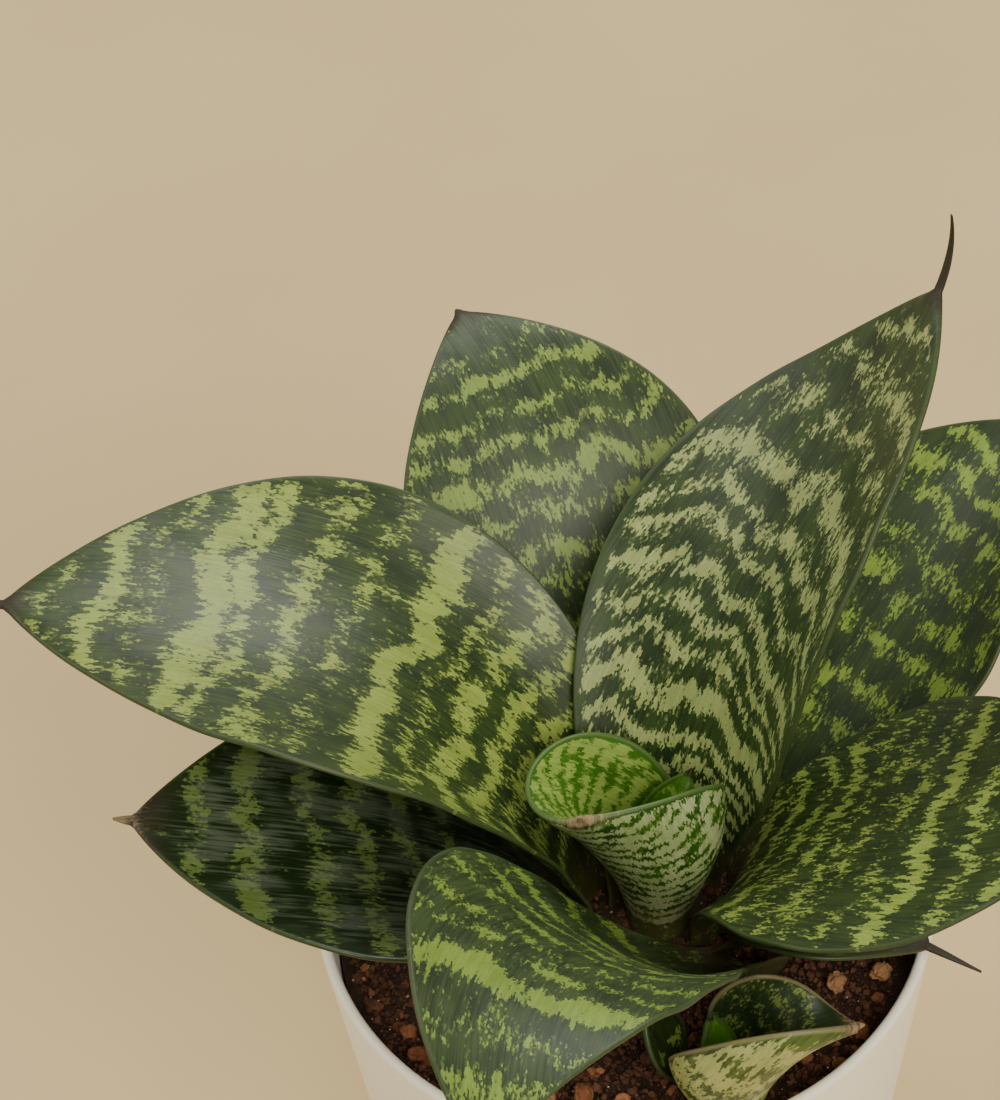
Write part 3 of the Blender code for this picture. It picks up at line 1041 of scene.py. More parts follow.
@dataclass
class Rosette:
    """The grown rosette: ten leaves round one short stem."""

    effects: SharedEffects
    stem_node: str = "stem"
    foot_height: float = 2.2 * MM
    soil_level: float = 90 * MM
    leaves: list[Leaf] = field(default_factory=list)

    def __post_init__(self) -> None:
        """Lays out the leaves, each with its own finish."""
        self.leaves += self.young_leaves() + self.tall_leaves() + self.low_leaves()

    def young_leaves(self) -> list[Leaf]:
        """The funnel-shaped heart and the bud inside it."""
        heart = LeafFinish(
            seed=3.0, bands=even_bands(0.12, 0.94, 14, 0.58), ground=Ground.SPARSE,
            dark=(0.045, 0.14, 0.008), light=(0.3, 0.41, 0.09), deep=(0.03, 0.1, 0.006), wander=1.6,
            gloss=0.38, tip=1.5, dry_tip=0.8, pale_under=0.04, streak=0.8, blush=0.4, patch=0.26,
            ragged=0.22, under_light=(0.42, 0.47, 0.25), under_dark=(0.02, 0.05, 0.01),
            rim=(0.08, 0.13, 0.035),
        )
        bud = LeafFinish(
            seed=4.0, bands=band_row((0.55, 0.1, 0.5), (0.8, 0.1, 0.55)), ground=Ground.BARE,
            dark=(0.07, 0.2, 0.012), light=(0.3, 0.42, 0.1), deep=(0.05, 0.15, 0.01), tip=1.0,
            blush=0.1,
        )
        return [
            Leaf(
                "leaf_heart", (-3, -4), 49, 56, (87, 59, 74, 62), (242, 220, 243), (-30, -3, 27),
                (322, 345, 232, 24), heart, "young_leaf", spine=2, neck=0.5, belly=0.5, columns=60,
                root=1.5,
            ),
            Leaf(
                "leaf_bud", (1.4, -0.8), 34, 16, (82, 79, 77, 78), (30, 22, 20), (0, 0, 0),
                (240, 200, 140), bud, "young_leaf", spine=1, rows=60, ripple=0.1, root=1.5,
            ),
        ]

    def tall_leaves(self) -> list[Leaf]:
        """The upright, left, right, back and back right leaves."""
        upright = LeafFinish(
            seed=11.0,
            bands=band_row(
                (0.1, 0.0198, 0.66), (0.14, 0.0198, 0.66), (0.18, 0.0198, 0.68),
                (0.22, 0.0185, 0.7), (0.26, 0.0198, 0.72), (0.325, 0.0363, 0.76),
                (0.385, 0.0185, 0.62), (0.43, 0.0185, 0.6), (0.48, 0.0264, 0.68),
                (0.545, 0.0231, 0.55), (0.6, 0.0264, 0.56), (0.68, 0.0528, 0.56),
                (0.78, 0.033, 0.44), (0.86, 0.0396, 0.46), (0.93, 0.0198, 0.52),
            ),
            ground=Ground.SPARSE, dark=(0.03, 0.06, 0.012), light=(0.36, 0.42, 0.16), arch=8.0,
            spread=26.0, wander=4.0, streak=2.0, patch=0.32, ragged=0.4, tip=4.0, gloss=0.42,
            plain_edge=2.0,
        )
        left = LeafFinish(
            seed=21.0,
            bands=band_row(
                (0.13, 0.024, 0.5), (0.19, 0.032, 0.52), (0.25, 0.028, 0.56), (0.31, 0.028, 0.6),
                (0.37, 0.032, 0.66), (0.425, 0.02, 0.46), (0.487, 0.036, 0.76), (0.57, 0.024, 0.46),
                (0.635, 0.032, 0.54), (0.705, 0.024, 0.6), (0.748, 0.04, 0.76), (0.82, 0.024, 0.34),
                (0.876, 0.024, 0.78), (0.94, 0.016, 0.46),
            ),
            tilt=0.16, wander=3.0, streak=1.6, tip=6.0,
        )
        right = LeafFinish(
            seed=31.0,
            bands=band_row(
                (0.14, 0.035, 0.52), (0.22, 0.028, 0.54), (0.3, 0.028, 0.56), (0.37, 0.0315, 0.62),
                (0.44, 0.021, 0.5), (0.5, 0.021, 0.46), (0.57, 0.021, 0.46), (0.655, 0.035, 0.82),
                (0.76, 0.028, 0.56), (0.86, 0.035, 0.62),
            ),
            ground=Ground.SPARSE, light=(0.27, 0.36, 0.07), wander=3.0, streak=3.0, tip=5.0,
            gloss=0.4,
        )
        back = LeafFinish(
            seed=41.0,
            bands=band_row(
                (0.22, 0.03, 0.5), (0.3, 0.03, 0.52), (0.38, 0.03, 0.5), (0.45, 0.0263, 0.5),
                (0.51, 0.03, 0.52), (0.58, 0.03, 0.5), (0.645, 0.0338, 0.62), (0.71, 0.0263, 0.54),
                (0.775, 0.0225, 0.48), (0.85, 0.0263, 0.58), (0.905, 0.0188, 0.46),
            ),
            light=(0.22, 0.31, 0.06), dark=(0.03, 0.056, 0.012), wander=3.5, streak=1.4, tip=5.0,
            gloss=0.42,
        )
        back_right = LeafFinish(
            seed=51.0,
            bands=band_row(
                (0.3, 0.04, 0.46), (0.4, 0.04, 0.5), (0.5, 0.04, 0.52), (0.58, 0.032, 0.46),
                (0.66, 0.032, 0.48), (0.75, 0.032, 0.5), (0.82, 0.032, 0.62), (0.9, 0.028, 0.56),
            ),
            light=(0.22, 0.33, 0.045), dark=(0.028, 0.052, 0.01), wander=3.5, streak=1.8, tip=5.0,
            gloss=0.44,
        )
        return [
            Leaf(
                "leaf_upright", (2, 7), 125, 63, (83, 64, 42, 59), (51, 5, 39), (48, -18, -24),
                (90, 88, 8), upright, spine=15, spine_lift=45, spine_turn=10,
            ),
            Leaf(
                "leaf_left", (-12, 4), 130, 72, (83, 51, 7, 7), (164, 167, 179), (-14, 10, 0),
                (158, 74, 2), left, spine=7, neck=0.36,
            ),
            Leaf(
                "leaf_right", (14, -2), 94, 61, (83, 22, 34, 46), (-33, -46, -24), (6, -8, 15),
                (83, 24, 10), right, spine=5,
            ),
            Leaf(
                "leaf_back", (-2, 23), 102, 60, (66, 70, 40, 8), (108, 103, 120), (8, -18, 5),
                (79, 50, 14), back, spine=1,
            ),
            Leaf(
                "leaf_back_right", (17, 11), 95, 58, (61, 17, 53, 25), (35, 45, 32), (7, -7, -7),
                (96, 51, 60), back_right, spine=2, neck=0.3,
            ),
        ]

    def low_leaves(self) -> list[Leaf]:
        """The lower left, front and lower right leaves."""
        lower_left = LeafFinish(
            seed=61.0,
            bands=band_row(
                (0.40, 0.035, 0.48), (0.50, 0.045, 0.5), (0.595, 0.045, 0.52), (0.685, 0.04, 0.5),
                (0.795, 0.045, 0.64), (0.885, 0.035, 0.54),
            ),
            # Darker colours than the other leaves': the leaf's own deeper green together with
            # painted shade from the left leaf above it.
            ground=Ground.BARE, dark=(0.013, 0.028, 0.008), deep=(0.008, 0.017, 0.005),
            light=(0.12, 0.175, 0.042), wander=2.0, streak=1.2, tip=8.0, dry_tip=0.5, gloss=0.27,
            # A painted sheen on this leaf, standing in for its gloss streaks.
            painted_sheen=0.38,
        )
        front = LeafFinish(
            seed=71.0,
            bands=band_row(
                (0.2, 0.032, 0.5), (0.3, 0.028, 0.56), (0.39, 0.024, 0.6), (0.47, 0.024, 0.58),
                (0.55, 0.024, 0.52), (0.62, 0.024, 0.5), (0.685, 0.024, 0.46), (0.765, 0.044, 0.78),
                (0.86, 0.028, 0.5), (0.92, 0.032, 0.56),
            ),
            light=(0.2, 0.3, 0.045), dark=(0.035, 0.06, 0.016), tilt=-0.2, wander=3.0, streak=2.4,
            tip=5.0, gloss=0.46,
        )
        lower_right = LeafFinish(
            seed=81.0, bands=band_row((0.4, 0.08, 0.5), (0.7, 0.08, 0.5)), ground=Ground.BARE,
            dark=(0.018, 0.034, 0.01), tip=5.0,
        )
        return [
            Leaf(
                "leaf_lower_left", (-15, -6), 94, 56, (74, 38, 21, 11), (204, 188, 176),
                (2, -3, -8), (89, 47, 35), lower_left, spine=3,
            ),
            Leaf(
                "leaf_front", (14, -17), 124, 49, (35, 68, 67, -34), (220, 222, 272), (27, -3, -34),
                (108, 55, 33), front, spine=4,
            ),
            Leaf(
                "leaf_lower_right", (16, -8), 37, 38, (49, 31, 11, -12), (-21, -30, -29),
                (-11, -12, -14), (96, 64, 56), lower_right, spine=10, rows=70,
            ),
        ]

    def centre(self) -> Vector:
        """The stem's centre, from its CAD node's box."""
        low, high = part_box(self.stem_node)
        level = self.soil_level + self.foot_height
        return Vector(((low.x + high.x) / 2, (low.y + high.y) / 2, level))

    def build(self) -> list[bpy.types.Object]:
        """Builds every leaf of this stem."""
        middle = self.centre()
        return [
            leaf.build(middle + Vector((leaf.foot[0] * MM, leaf.foot[1] * MM, 0)), self.effects)
            for leaf in self.leaves
        ]


@dataclass
class Offset(Rosette):
    """The young offset at the front: a rolled pale leaf, a small dark one and a bud."""

    stem_node: str = "offset_stem"

    def __post_init__(self) -> None:
        """Lays out the offset's three leaves."""
        pale = LeafFinish(
            seed=91.0, bands=even_bands(0.1, 0.74, 5, 0.42), ground=Ground.BARE,
            light=(0.2, 0.27, 0.06), dark=(0.025, 0.045, 0.014), deep=(0.015, 0.03, 0.01),
            wander=2.5, pale_under=0.22, tip=3.0, dry_tip=0.8, blush=0.0, streak=1.2,
            rim=(0.24, 0.2, 0.1), under_light=(0.4, 0.43, 0.17), under_dark=(0.07, 0.13, 0.02),
            patch=0.2,
        )
        small = LeafFinish(
            seed=95.0, bands=band_row((0.5, 0.1, 0.5)), ground=Ground.BARE, blush=0.0, tip=1.5,
        )
        bud = LeafFinish(
            seed=97.0, bands=band_row((0.5, 0.1, 0.5)), ground=Ground.BARE, dark=(0.07, 0.2, 0.012),
            light=(0.2, 0.34, 0.05), deep=(0.05, 0.15, 0.01), blush=0.0, tip=1.0,
        )
        self.leaves += [
            Leaf(
                "offset_leaf_right", (5, -6.2), 36, 41.5, (74, 76, 73, 0), (-54, -34, 0, 8),
                (0, 8, -38, -40), (290, 296, 200, 60), pale, "pale_leaf", spine=1, neck=0.7,
                belly=0.35, columns=60, root=1.5,
            ),
            Leaf(
                "offset_leaf_left", (-4, 0.6), 21, 12, (55, 60, 75, 80), (160, 155, 150), (0, 0, 0),
                (120, 90, 60), small, spine=1, neck=0.2, rows=50, ripple=0.1, root=1.5,
            ),
            Leaf(
                "offset_bud", (0.5, -1), 20, 8, (85, 85, 85, 85), (120, 120, 120), (0, 0, 0),
                (150, 120, 60), bud, "young_leaf", spine=1, rows=50, ripple=0.1, root=1.5,
            ),
        ]


# ---------------------------------------------------------------------------- pot


@dataclass(frozen=True)
class PlasticFinish:
    """Matt white moulded plastic with faint handling marks and a fine orange-peel skin."""

    name: str
    colour: Colour = (0.95, 0.9, 0.75)
    darker_tone: Colour = (0.68, 0.61, 0.47)
    roughness: float = 0.38
    relief: float = 0.00003

    def material(self, effects: SharedEffects) -> bpy.types.Material:
        """Builds the material.

        Args:
            effects: The shared node groups.

        Returns:
            The material.
        """
        material, net, shader = new_material(self.name)
        place = net.add("ShaderNodeTexCoord").outputs["Object"]
        marks = net.group(effects.mottle, {"Place": place, "Blotch": 60.0, "Pit": 900.0})
        height = net.split(place)[2]
        uneven = net.sum(height, net.scaled(marks.outputs["Slow"], 0.012))
        # Darker towards the foot of the pot, over its lowest 2 cm or so, plus faint fine handling
        # marks.
        low = net.smooth(uneven, 0.004, 0.02, (0.3, 0.0))
        darkening = net.sum(low, net.smooth(marks.outputs["Fine"], 0.62, 0.8, (0.0, 0.22)))
        colour = net.colour_mix(darkening, self.colour, self.darker_tone)
        rough = net.sum(self.roughness - 0.08, net.scaled(marks.outputs["Slow"], 0.16))
        net.dress(shader, colour, rough, marks.outputs["Fine"], self.relief, 0.5)
        return material


@dataclass
class Pot:
    """The tapered pot, with a rounded lip, grooved drain holes and a rounded foot."""

    effects: SharedEffects
    wall: float = 2.0 * MM
    floor: float = 3.0 * MM
    foot_radius: float = 2.5 * MM
    base_diameter: float = 90 * MM
    holes: int = 6
    hole_diameter: float = 3.8 * MM
    hole_circle: float = 56 * MM
    groove_width: float = 5 * MM
    groove_depth: float = 1.2 * MM
    groove_inner_radius: float = 22 * MM
    steps: int = 192
    lip_steps: int = 14
    foot_steps: int = 10
    hole_steps: int = 32

    def profile(self) -> list[tuple[float, float]]:
        """The pot's half section, from the axis inside to the axis below."""
        low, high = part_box("pot")
        height, top = high.z - low.z, (high.x - low.x) / 2
        base = self.base_diameter / 2
        slope = (top - base) / height
        lip = self.wall / 2
        points = [(0.0, self.floor), (base + slope * self.floor - self.wall, self.floor)]
        points += arc((top - lip, height - lip), lip, 180, 0, self.lip_steps)
        foot = (base - self.foot_radius, self.foot_radius)
        points += arc(foot, self.foot_radius, 0, -90, self.foot_steps)
        return [*points, (0.0, 0.0)]

    def cutter(self) -> bpy.types.Object:
        """The drain grooves and holes as one cutter."""
        work = bmesh.new()
        length = self.base_diameter / 2 - self.groove_inner_radius + self.wall
        for start in full_turn(self.holes):
            turn = start + math.pi / self.holes
            outward = Vector((math.cos(turn), math.sin(turn), 0))
            block = bmesh.ops.create_cube(work, size=1)["verts"]
            size = (length, self.groove_width, 2 * self.groove_depth)
            bmesh.ops.scale(work, verts=block, vec=size)
            bmesh.ops.rotate(work, verts=block, matrix=Matrix.Rotation(turn, 3, "Z"))
            place = self.groove_inner_radius + length / 2
            bmesh.ops.translate(work, verts=block, vec=outward * place)
            radius = self.hole_diameter / 2
            rod = bmesh.ops.create_cone(
                work,
                cap_ends=True,
                segments=self.hole_steps,
                radius1=radius,
                radius2=radius,
                depth=4 * self.floor,
            )["verts"]
            bmesh.ops.translate(work, verts=rod, vec=outward * self.hole_circle / 2)
        return linked("drain_cutter", mesh_from(work, "drain_cutter"))

    def build(self) -> bpy.types.Object:
        """Builds the pot and dresses it."""
        shell = linked("pot_raw", lathe("pot_shell", self.profile(), self.steps))
        cutter = self.cutter()
        cut = shell.modifiers.new("Drain", "BOOLEAN")
        cut.operation = "DIFFERENCE"
        cut.solver = "EXACT"
        cut.use_self = True
        cut.object = cutter
        finished = baked(shell, "pot_shell")
        bpy.data.objects.remove(shell)
        bpy.data.objects.remove(cutter)
        smooth_by_angle(finished, 40)
        finished.materials.clear()
        finished.materials.append(PlasticFinish("pot_white").material(self.effects))
        return added(finished, "pot_shell", ["pot"])


# ---------------------------------------------------------------------------- soil and stems


@dataclass(frozen=True)
class EarthFinish:
    """Soil, clay or bark: two tones by grain, blotches, pits and an optional pale dust."""

    name: str
    dark: Colour
    light: Colour
    dust: Colour = (0.4, 0.33, 0.24)
    dust_amount: float = 0.1
    roughness: float = 0.9
    blotch: float = 350.0
    pit: float = 2600.0
    relief: float = 0.00012

    def material(self, effects: SharedEffects) -> bpy.types.Material:
        """Builds the material.

        Args:
            effects: The shared node groups.

        Returns:
            The material.
        """
        material, net, shader = new_material(self.name)
        place = net.add("ShaderNodeTexCoord").outputs["Object"]
        grain = net.add("ShaderNodeAttribute", attribute_name="grain_tint").outputs["Fac"]
        mottle = net.group(effects.mottle, {"Place": place, "Blotch": self.blotch, "Pit": self.pit})
        mix = net.sum(net.scaled(grain, 0.55), net.scaled(mottle.outputs["Slow"], 0.9), -0.25)
        colour = net.colour_mix(net.maths("ADD", mix, 0.0, clamp=True), self.dark, self.light)
        specks = net.smooth(mottle.outputs["Fine"], 0.60, 0.70, (0.0, self.dust_amount))
        colour = net.colour_mix(specks, colour, self.dust)
        rough = net.sum(self.roughness - 0.1, net.scaled(mottle.outputs["Fine"], 0.15))
        net.dress(shader, colour, rough, mottle.outputs["Height"], self.relief, 0.9)
        shader.inputs["Specular IOR Level"].default_value = 0.3
        return material


@dataclass(frozen=True)
class Scatter:
    """One kind of loose grain strewn over the soil.

    Squash is its height as a share of its width, lumpy its unevenness, level how finely it is
    meshed, and sink how far it lies below the surface, as a share of its size.
    """

    name: str
    finish: EarthFinish
    slot: str
    per_square_metre: float
    smallest: float
    largest: float
    squash: float = 0.7
    lumpy: float = 0.45
    level: int = 1
    seed: int = 1
    sink: float = 0.25


@dataclass
class SoilBed:
    """The soil: an uneven crumbly top on a plain plug, strewn with grains.

    The base and top radius, the wall and the height are the pot's.
    """

    effects: SharedEffects
    soil_level: float = 90 * MM
    wall: float = 2.0 * MM
    base_radius: float = 45 * MM
    top_radius: float = 55 * MM
    height: float = 100 * MM
    pot_gap: float = 0.35 * MM
    strewn_gap: float = 1.3 * MM
    strewn_side: float = 1.5 * MM
    rings: int = 60
    steps: int = 220

    def top(self, x: float, y: float) -> float:
        """The soil's height at a place: slow waves, lumps and crumbs."""
        wave = math.sin(x / (9 * MM) + 0.6) * math.cos(y / (7 * MM))
        wave += math.sin((x + 2 * y) / (13 * MM) + 1.9)
        clods = noise.noise(Vector((x, y, 0.1)) * 260) * 0.55
        crumbs = noise.noise(Vector((x, y, 0.7)) * 700) * 0.35
        return self.soil_level + (0.25 * wave + (clods + crumbs) * 0.8 - 0.15) * MM

    def inner_radius(self, level: float) -> float:
        """The pot's inner radius at a height."""
        spread = (self.top_radius - self.base_radius) * level / self.height
        return self.base_radius + spread - self.wall

    def plug(self) -> bpy.types.Mesh:
        """The soil's own closed mesh."""
        work = bmesh.new()
        low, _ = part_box("soil")
        edge = self.inner_radius(self.soil_level) - self.pot_gap
        foot = self.inner_radius(low.z) - self.pot_gap
        turns = full_turn(self.steps)
        grid = [[work.verts.new((foot * math.cos(t), foot * math.sin(t), low.z)) for t in turns]]
        for ring in range(self.rings):
            radius = edge * (1 - ring / self.rings)
            spots = [(radius * math.cos(turn), radius * math.sin(turn)) for turn in turns]
            grid.append([work.verts.new((x, y, self.top(x, y))) for x, y in spots])
        for lower, upper in zip(grid, grid[1:]):
            wall_between(work, lower, upper)
        middle = work.verts.new((0, 0, self.top(0, 0)))
        for step in range(self.steps):
            work.faces.new((grid[-1][step], grid[-1][(step + 1) % self.steps], middle))
        work.faces.new(grid[0][::-1])
        mesh = mesh_from(work, "soil_bed")
        smooth_by_angle(mesh, 50)
        return mesh

    def strewn_area(self) -> bpy.types.Object:
        """The surface that grains are strewn on: the soil's top, clear of the pot's wall."""
        work = bmesh.new()
        side = self.strewn_side
        reach = self.inner_radius(self.soil_level) - self.strewn_gap
        count = int(reach / side) + 1
        spots = {}
        for i in range(-count, count + 1):
            for j in range(-count, count + 1):
                x, y = i * side, j * side
                if math.hypot(x, y) < reach:
                    spots[i, j] = work.verts.new((x, y, self.top(x, y)))
        for i, j in list(spots):
            corners = [(i, j), (i + 1, j), (i + 1, j + 1), (i, j + 1)]
            if all(corner in spots for corner in corners):
                work.faces.new([spots[corner] for corner in corners])
        return linked("strewn_area", mesh_from(work, "strewn_area", outward=False))

    @staticmethod
    def grain_tree() -> bpy.types.NodeTree:
        """Geometry Nodes that strew lumpy grains over a surface."""
        number, whole = SocketKind.NUMBER, SocketKind.WHOLE
        net, given, out = new_group(
            "strewn_grains",
            "GeometryNodeTree",
            {
                "Geometry": (SocketKind.GEOMETRY, None),
                "Density": (number, 1.0),
                "Smallest": (number, 0.001),
                "Largest": (number, 0.002),
                "Squash": (number, 0.7),
                "Lumpy": (number, 0.4),
                "Sink": (number, 0.2),
                "Level": (whole, 1),
                "Seed": (whole, 1),
                "Material": (SocketKind.MATERIAL, None),
            },
            {"Geometry": SocketKind.GEOMETRY},
        )
        seed = given.outputs["Seed"]
        points = net.add(
            "GeometryNodeDistributePointsOnFaces",
            {"Mesh": given.outputs["Geometry"], "Density": given.outputs["Density"], "Seed": seed},
        )
        lump = net.add(
            "GeometryNodeMeshIcoSphere", {"Radius": 1.0, "Subdivisions": given.outputs["Level"]}
        )

        def dice(low: object, high: object, salt: int, kind: str = "FLOAT") -> Socket:
            """A random value for each grain."""
            node = net.add("FunctionNodeRandomValue", data_type=kind)
            shown = [socket for socket in node.inputs if socket.enabled]
            net.feed(shown[0], low)
            net.feed(shown[1], high)
            net.feed(node.inputs["Seed"], net.maths("ADD", seed, float(salt)))
            return next(socket for socket in node.outputs if socket.enabled)

        turn = dice((0.0, 0.0, 0.0), (6.283, 6.283, 6.283), 1, "FLOAT_VECTOR")
        rare = net.maths("POWER", dice(0.0, 1.0, 2), 2.2)
        span = net.maths("SUBTRACT", given.outputs["Largest"], given.outputs["Smallest"])
        size = net.sum(given.outputs["Smallest"], net.scaled(span, rare))
        shape = net.joined(dice(0.85, 1.15, 3), dice(0.6, 1.0, 4), given.outputs["Squash"])
        placed = net.add(
            "GeometryNodeInstanceOnPoints",
            {
                "Points": points.outputs["Points"],
                "Instance": lump.outputs["Mesh"],
                "Rotation": turn,
                "Scale": net.stretched(shape, size),
            },
        )
        grains = placed.outputs["Instances"]
        for label, value in (("grain_tint", dice(0.0, 1.0, 5)), ("grain_size", size)):
            stored = net.add(
                "GeometryNodeStoreNamedAttribute",
                {"Geometry": grains, "Name": label, "Value": value},
                data_type="FLOAT",
                domain="INSTANCE",
            )
            grains = stored.outputs["Geometry"]
        real = net.add("GeometryNodeRealizeInstances", {"Geometry": grains})
        where = net.add("GeometryNodeInputPosition").outputs[0]
        jitter = net.add("ShaderNodeTexNoise", {"Vector": where, "Scale": 900.0, "Detail": 1.0})
        push = net.vector("SUBTRACT", jitter.outputs["Color"], (0.5, 0.5, 0.5))
        grain_size = net.add(
            "GeometryNodeInputNamedAttribute", {"Name": "grain_size"}, data_type="FLOAT"
        )
        reach = net.scaled(grain_size.outputs[0], net.scaled(given.outputs["Lumpy"], 3.0))
        depth = net.scaled(grain_size.outputs[0], given.outputs["Sink"])
        down = net.joined(0.0, 0.0, net.scaled(depth, -1.0))
        moved = net.add(
            "GeometryNodeSetPosition",
            {
                "Geometry": real.outputs["Geometry"],
                "Offset": net.vector("ADD", net.stretched(push, reach), down),
            },
        )
        dressed = net.add(
            "GeometryNodeSetMaterial",
            {"Geometry": moved.outputs["Geometry"], "Material": given.outputs["Material"]},
        )
        net.feed(out.inputs["Geometry"], dressed.outputs["Geometry"])
        return net.tree

    def strew(
        self, area: bpy.types.Object, tree: bpy.types.NodeTree, kind: Scatter
    ) -> bpy.types.Object:
        """Strews one kind of grain.

        Args:
            area: The surface that the grains lie on.
            tree: The Geometry Nodes tree.
            kind: The kind of grain.

        Returns:
            The grains as one piece.
        """
        modifier = area.modifiers.new(kind.name, "NODES")
        modifier.node_group = tree
        values = {
            "Density": kind.per_square_metre,
            "Smallest": kind.smallest,
            "Largest": kind.largest,
            "Squash": kind.squash,
            "Lumpy": kind.lumpy,
            "Sink": kind.sink,
            "Level": kind.level,
            "Seed": kind.seed,
            "Material": kind.finish.material(self.effects),
        }
        for item in tree.interface.items_tree:
            if item.item_type == "SOCKET" and item.in_out == "INPUT" and item.name in values:
                modifier[item.identifier] = values[item.name]
        area.update_tag()
        mesh = baked(area, kind.name)
        area.modifiers.remove(modifier)
        return added(mesh, kind.name, [])

    def build(self) -> list[bpy.types.Object]:
        """Builds the soil and everything strewn on it."""
        earth = EarthFinish(
            "soil_dark", (0.012, 0.005, 0.003), (0.09, 0.038, 0.02), dust_amount=0.3,
        )
        mesh = self.plug()
        mesh.materials.append(earth.material(self.effects))
        pieces = [added(mesh, "soil_bed", ["soil"])]
        area = self.strewn_area()
        tree = self.grain_tree()
        peat = EarthFinish(
            "peat_crumb", (0.014, 0.006, 0.004), (0.18, 0.072, 0.038), dust_amount=0.25,
            blotch=700.0,
        )
        clod = EarthFinish(
            "peat_clod", (0.02, 0.008, 0.005), (0.24, 0.095, 0.048), dust_amount=0.3, relief=0.0003,
        )
        clay = EarthFinish(
            "fired_clay", (0.14, 0.045, 0.018), (0.5, 0.23, 0.1), dust=(0.6, 0.42, 0.26),
            relief=0.0004,
        )
        pale = EarthFinish("pale_grit", (0.35, 0.28, 0.2), (0.7, 0.62, 0.5), dust_amount=0.0)
        kinds = [
            Scatter("soil_crumbs", peat, "soil", 1.05e6, 0.3 * MM, 1.0 * MM, seed=3, sink=-0.1),
            Scatter(
                "soil_clods", clod, "soil", 0.07e6, 0.8 * MM, 2.1 * MM, level=2, seed=5, lumpy=0.5,
            ),
            Scatter(
                "clay_grit", clay, "granule", 0.022e6, 0.45 * MM, 1.35 * MM, level=2, seed=8,
                sink=-0.1,
            ),
            Scatter(
                "pale_specks", pale, "granule", 0.05e6, 0.12 * MM, 0.36 * MM, seed=13, sink=-2.2,
            ),
        ]
        pieces += [self.strew(area, tree, kind) for kind in kinds]
        bpy.data.objects.remove(area)
        return pieces


@dataclass
class LooseGrains:
    """The larger clay granules and the bark sliver, each standing for its own CAD node.

    Lump, facet and pit each give how closely a granule's unevenness is set and how deep it is.
    """

    effects: SharedEffects
    granules: int = 12
    lump: tuple[float, float] = (1.3, 0.34)
    facet: tuple[float, float] = (2.1, 0.05)
    pit: tuple[float, float] = (4.6, 0.15)
    sliver_thickness: float = 0.9 * MM
    sliver_bow: float = 0.3 * MM
    sliver_rows: int = 24
    sliver_sides: int = 10

    def granule(self, node: str, seed: float, finish: EarthFinish) -> bpy.types.Object:
        """One lumpy granule in the place of its node.

        Args:
            node: The CAD node's name.
            seed: What makes its lumps its own.
            finish: Its finish.

        Returns:
            The granule.
        """
        low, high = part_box(node)
        centre, half = (low + high) / 2, (high - low) / 2
        work = bmesh.new()
        bmesh.ops.create_icosphere(work, subdivisions=4, radius=1.0)
        for vert in work.verts:
            way = vert.co.normalized()
            lumps = noise.noise(way * self.lump[0] + Vector((seed, 0, 0))) * self.lump[1]
            facets = noise.cell(way * self.facet[0] + Vector((0, seed, 0))) * self.facet[1]
            pits = noise.noise(way * self.pit[0] + Vector((0, 0, seed))) * self.pit[1]
            size = 0.97 + lumps + facets + pits
            vert.co = centre + Vector((way.x * half.x, way.y * half.y, way.z * half.z)) * size
        mesh = mesh_from(work, node + "_clay", outward=False)
        smooth_all(mesh)
        tint = mesh.attributes.new("grain_tint", "FLOAT", "POINT")
        tint.data.foreach_set("value", [(seed * 0.37) % 1.0] * len(mesh.vertices))
        mesh.materials.append(finish.material(self.effects))
        return added(mesh, node + "_clay", [node])

    def sliver(self) -> bpy.types.Object:
        """The bark sliver, a little bowed, rough and thinner at its ends."""
        low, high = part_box("bark_sliver")
        level = (low.z + high.z) / 2
        start, end = Vector((low.x, low.y, level)), Vector((high.x, high.y, level))
        up = Vector((0, 0, 1))
        side = (end - start).normalized().cross(up).normalized()
        work = bmesh.new()
        rings = []
        for step in range(self.sliver_rows + 1):
            share = step / self.sliver_rows
            middle = start.lerp(end, share) + side * math.sin(share * math.pi) * self.sliver_bow
            end_taper = min(1.0, 0.35 + 6 * min(share, 1 - share))
            radius = self.sliver_thickness / 2 * (0.95 - 0.5 * share) * end_taper
            ring = []
            for angle in full_turn(self.sliver_sides):
                way = Vector((share * 9, math.cos(angle), math.sin(angle)))
                outward = side * math.cos(angle) + up * math.sin(angle)
                rough = 1 + 0.3 * noise.noise(way)
                ring.append(work.verts.new(middle + outward * radius * rough))
            rings.append(ring)
        for first, second in zip(rings, rings[1:]):
            wall_between(work, first, second)
        work.faces.new(rings[0])
        work.faces.new(rings[-1][::-1])
        mesh = mesh_from(work, "bark_sliver_wood")
        smooth_all(mesh)
        bark = EarthFinish("bark_red", (0.10, 0.03, 0.015), (0.34, 0.13, 0.06), blotch=900.0)
        mesh.materials.append(bark.material(self.effects))
        return added(mesh, "bark_sliver_wood", ["bark_sliver"])

    def build(self) -> list[bpy.types.Object]:
        """Builds the granules and the sliver."""
        fired = {"relief": 0.0006, "blotch": 420.0, "pit": 1300.0}
        orange = EarthFinish(
            "clay_orange", (0.11, 0.032, 0.013), (0.5, 0.2, 0.085), dust=(0.6, 0.38, 0.22), **fired,
        )
        tan = EarthFinish(
            "clay_tan", (0.17, 0.062, 0.025), (0.52, 0.28, 0.13), dust=(0.6, 0.42, 0.26), **fired,
        )
        pieces = [
            self.granule(f"granule_{number:02d}", 1.7 * number, orange if number % 3 else tan)
            for number in range(1, self.granules + 1)
        ]
        return [*pieces, self.sliver()]


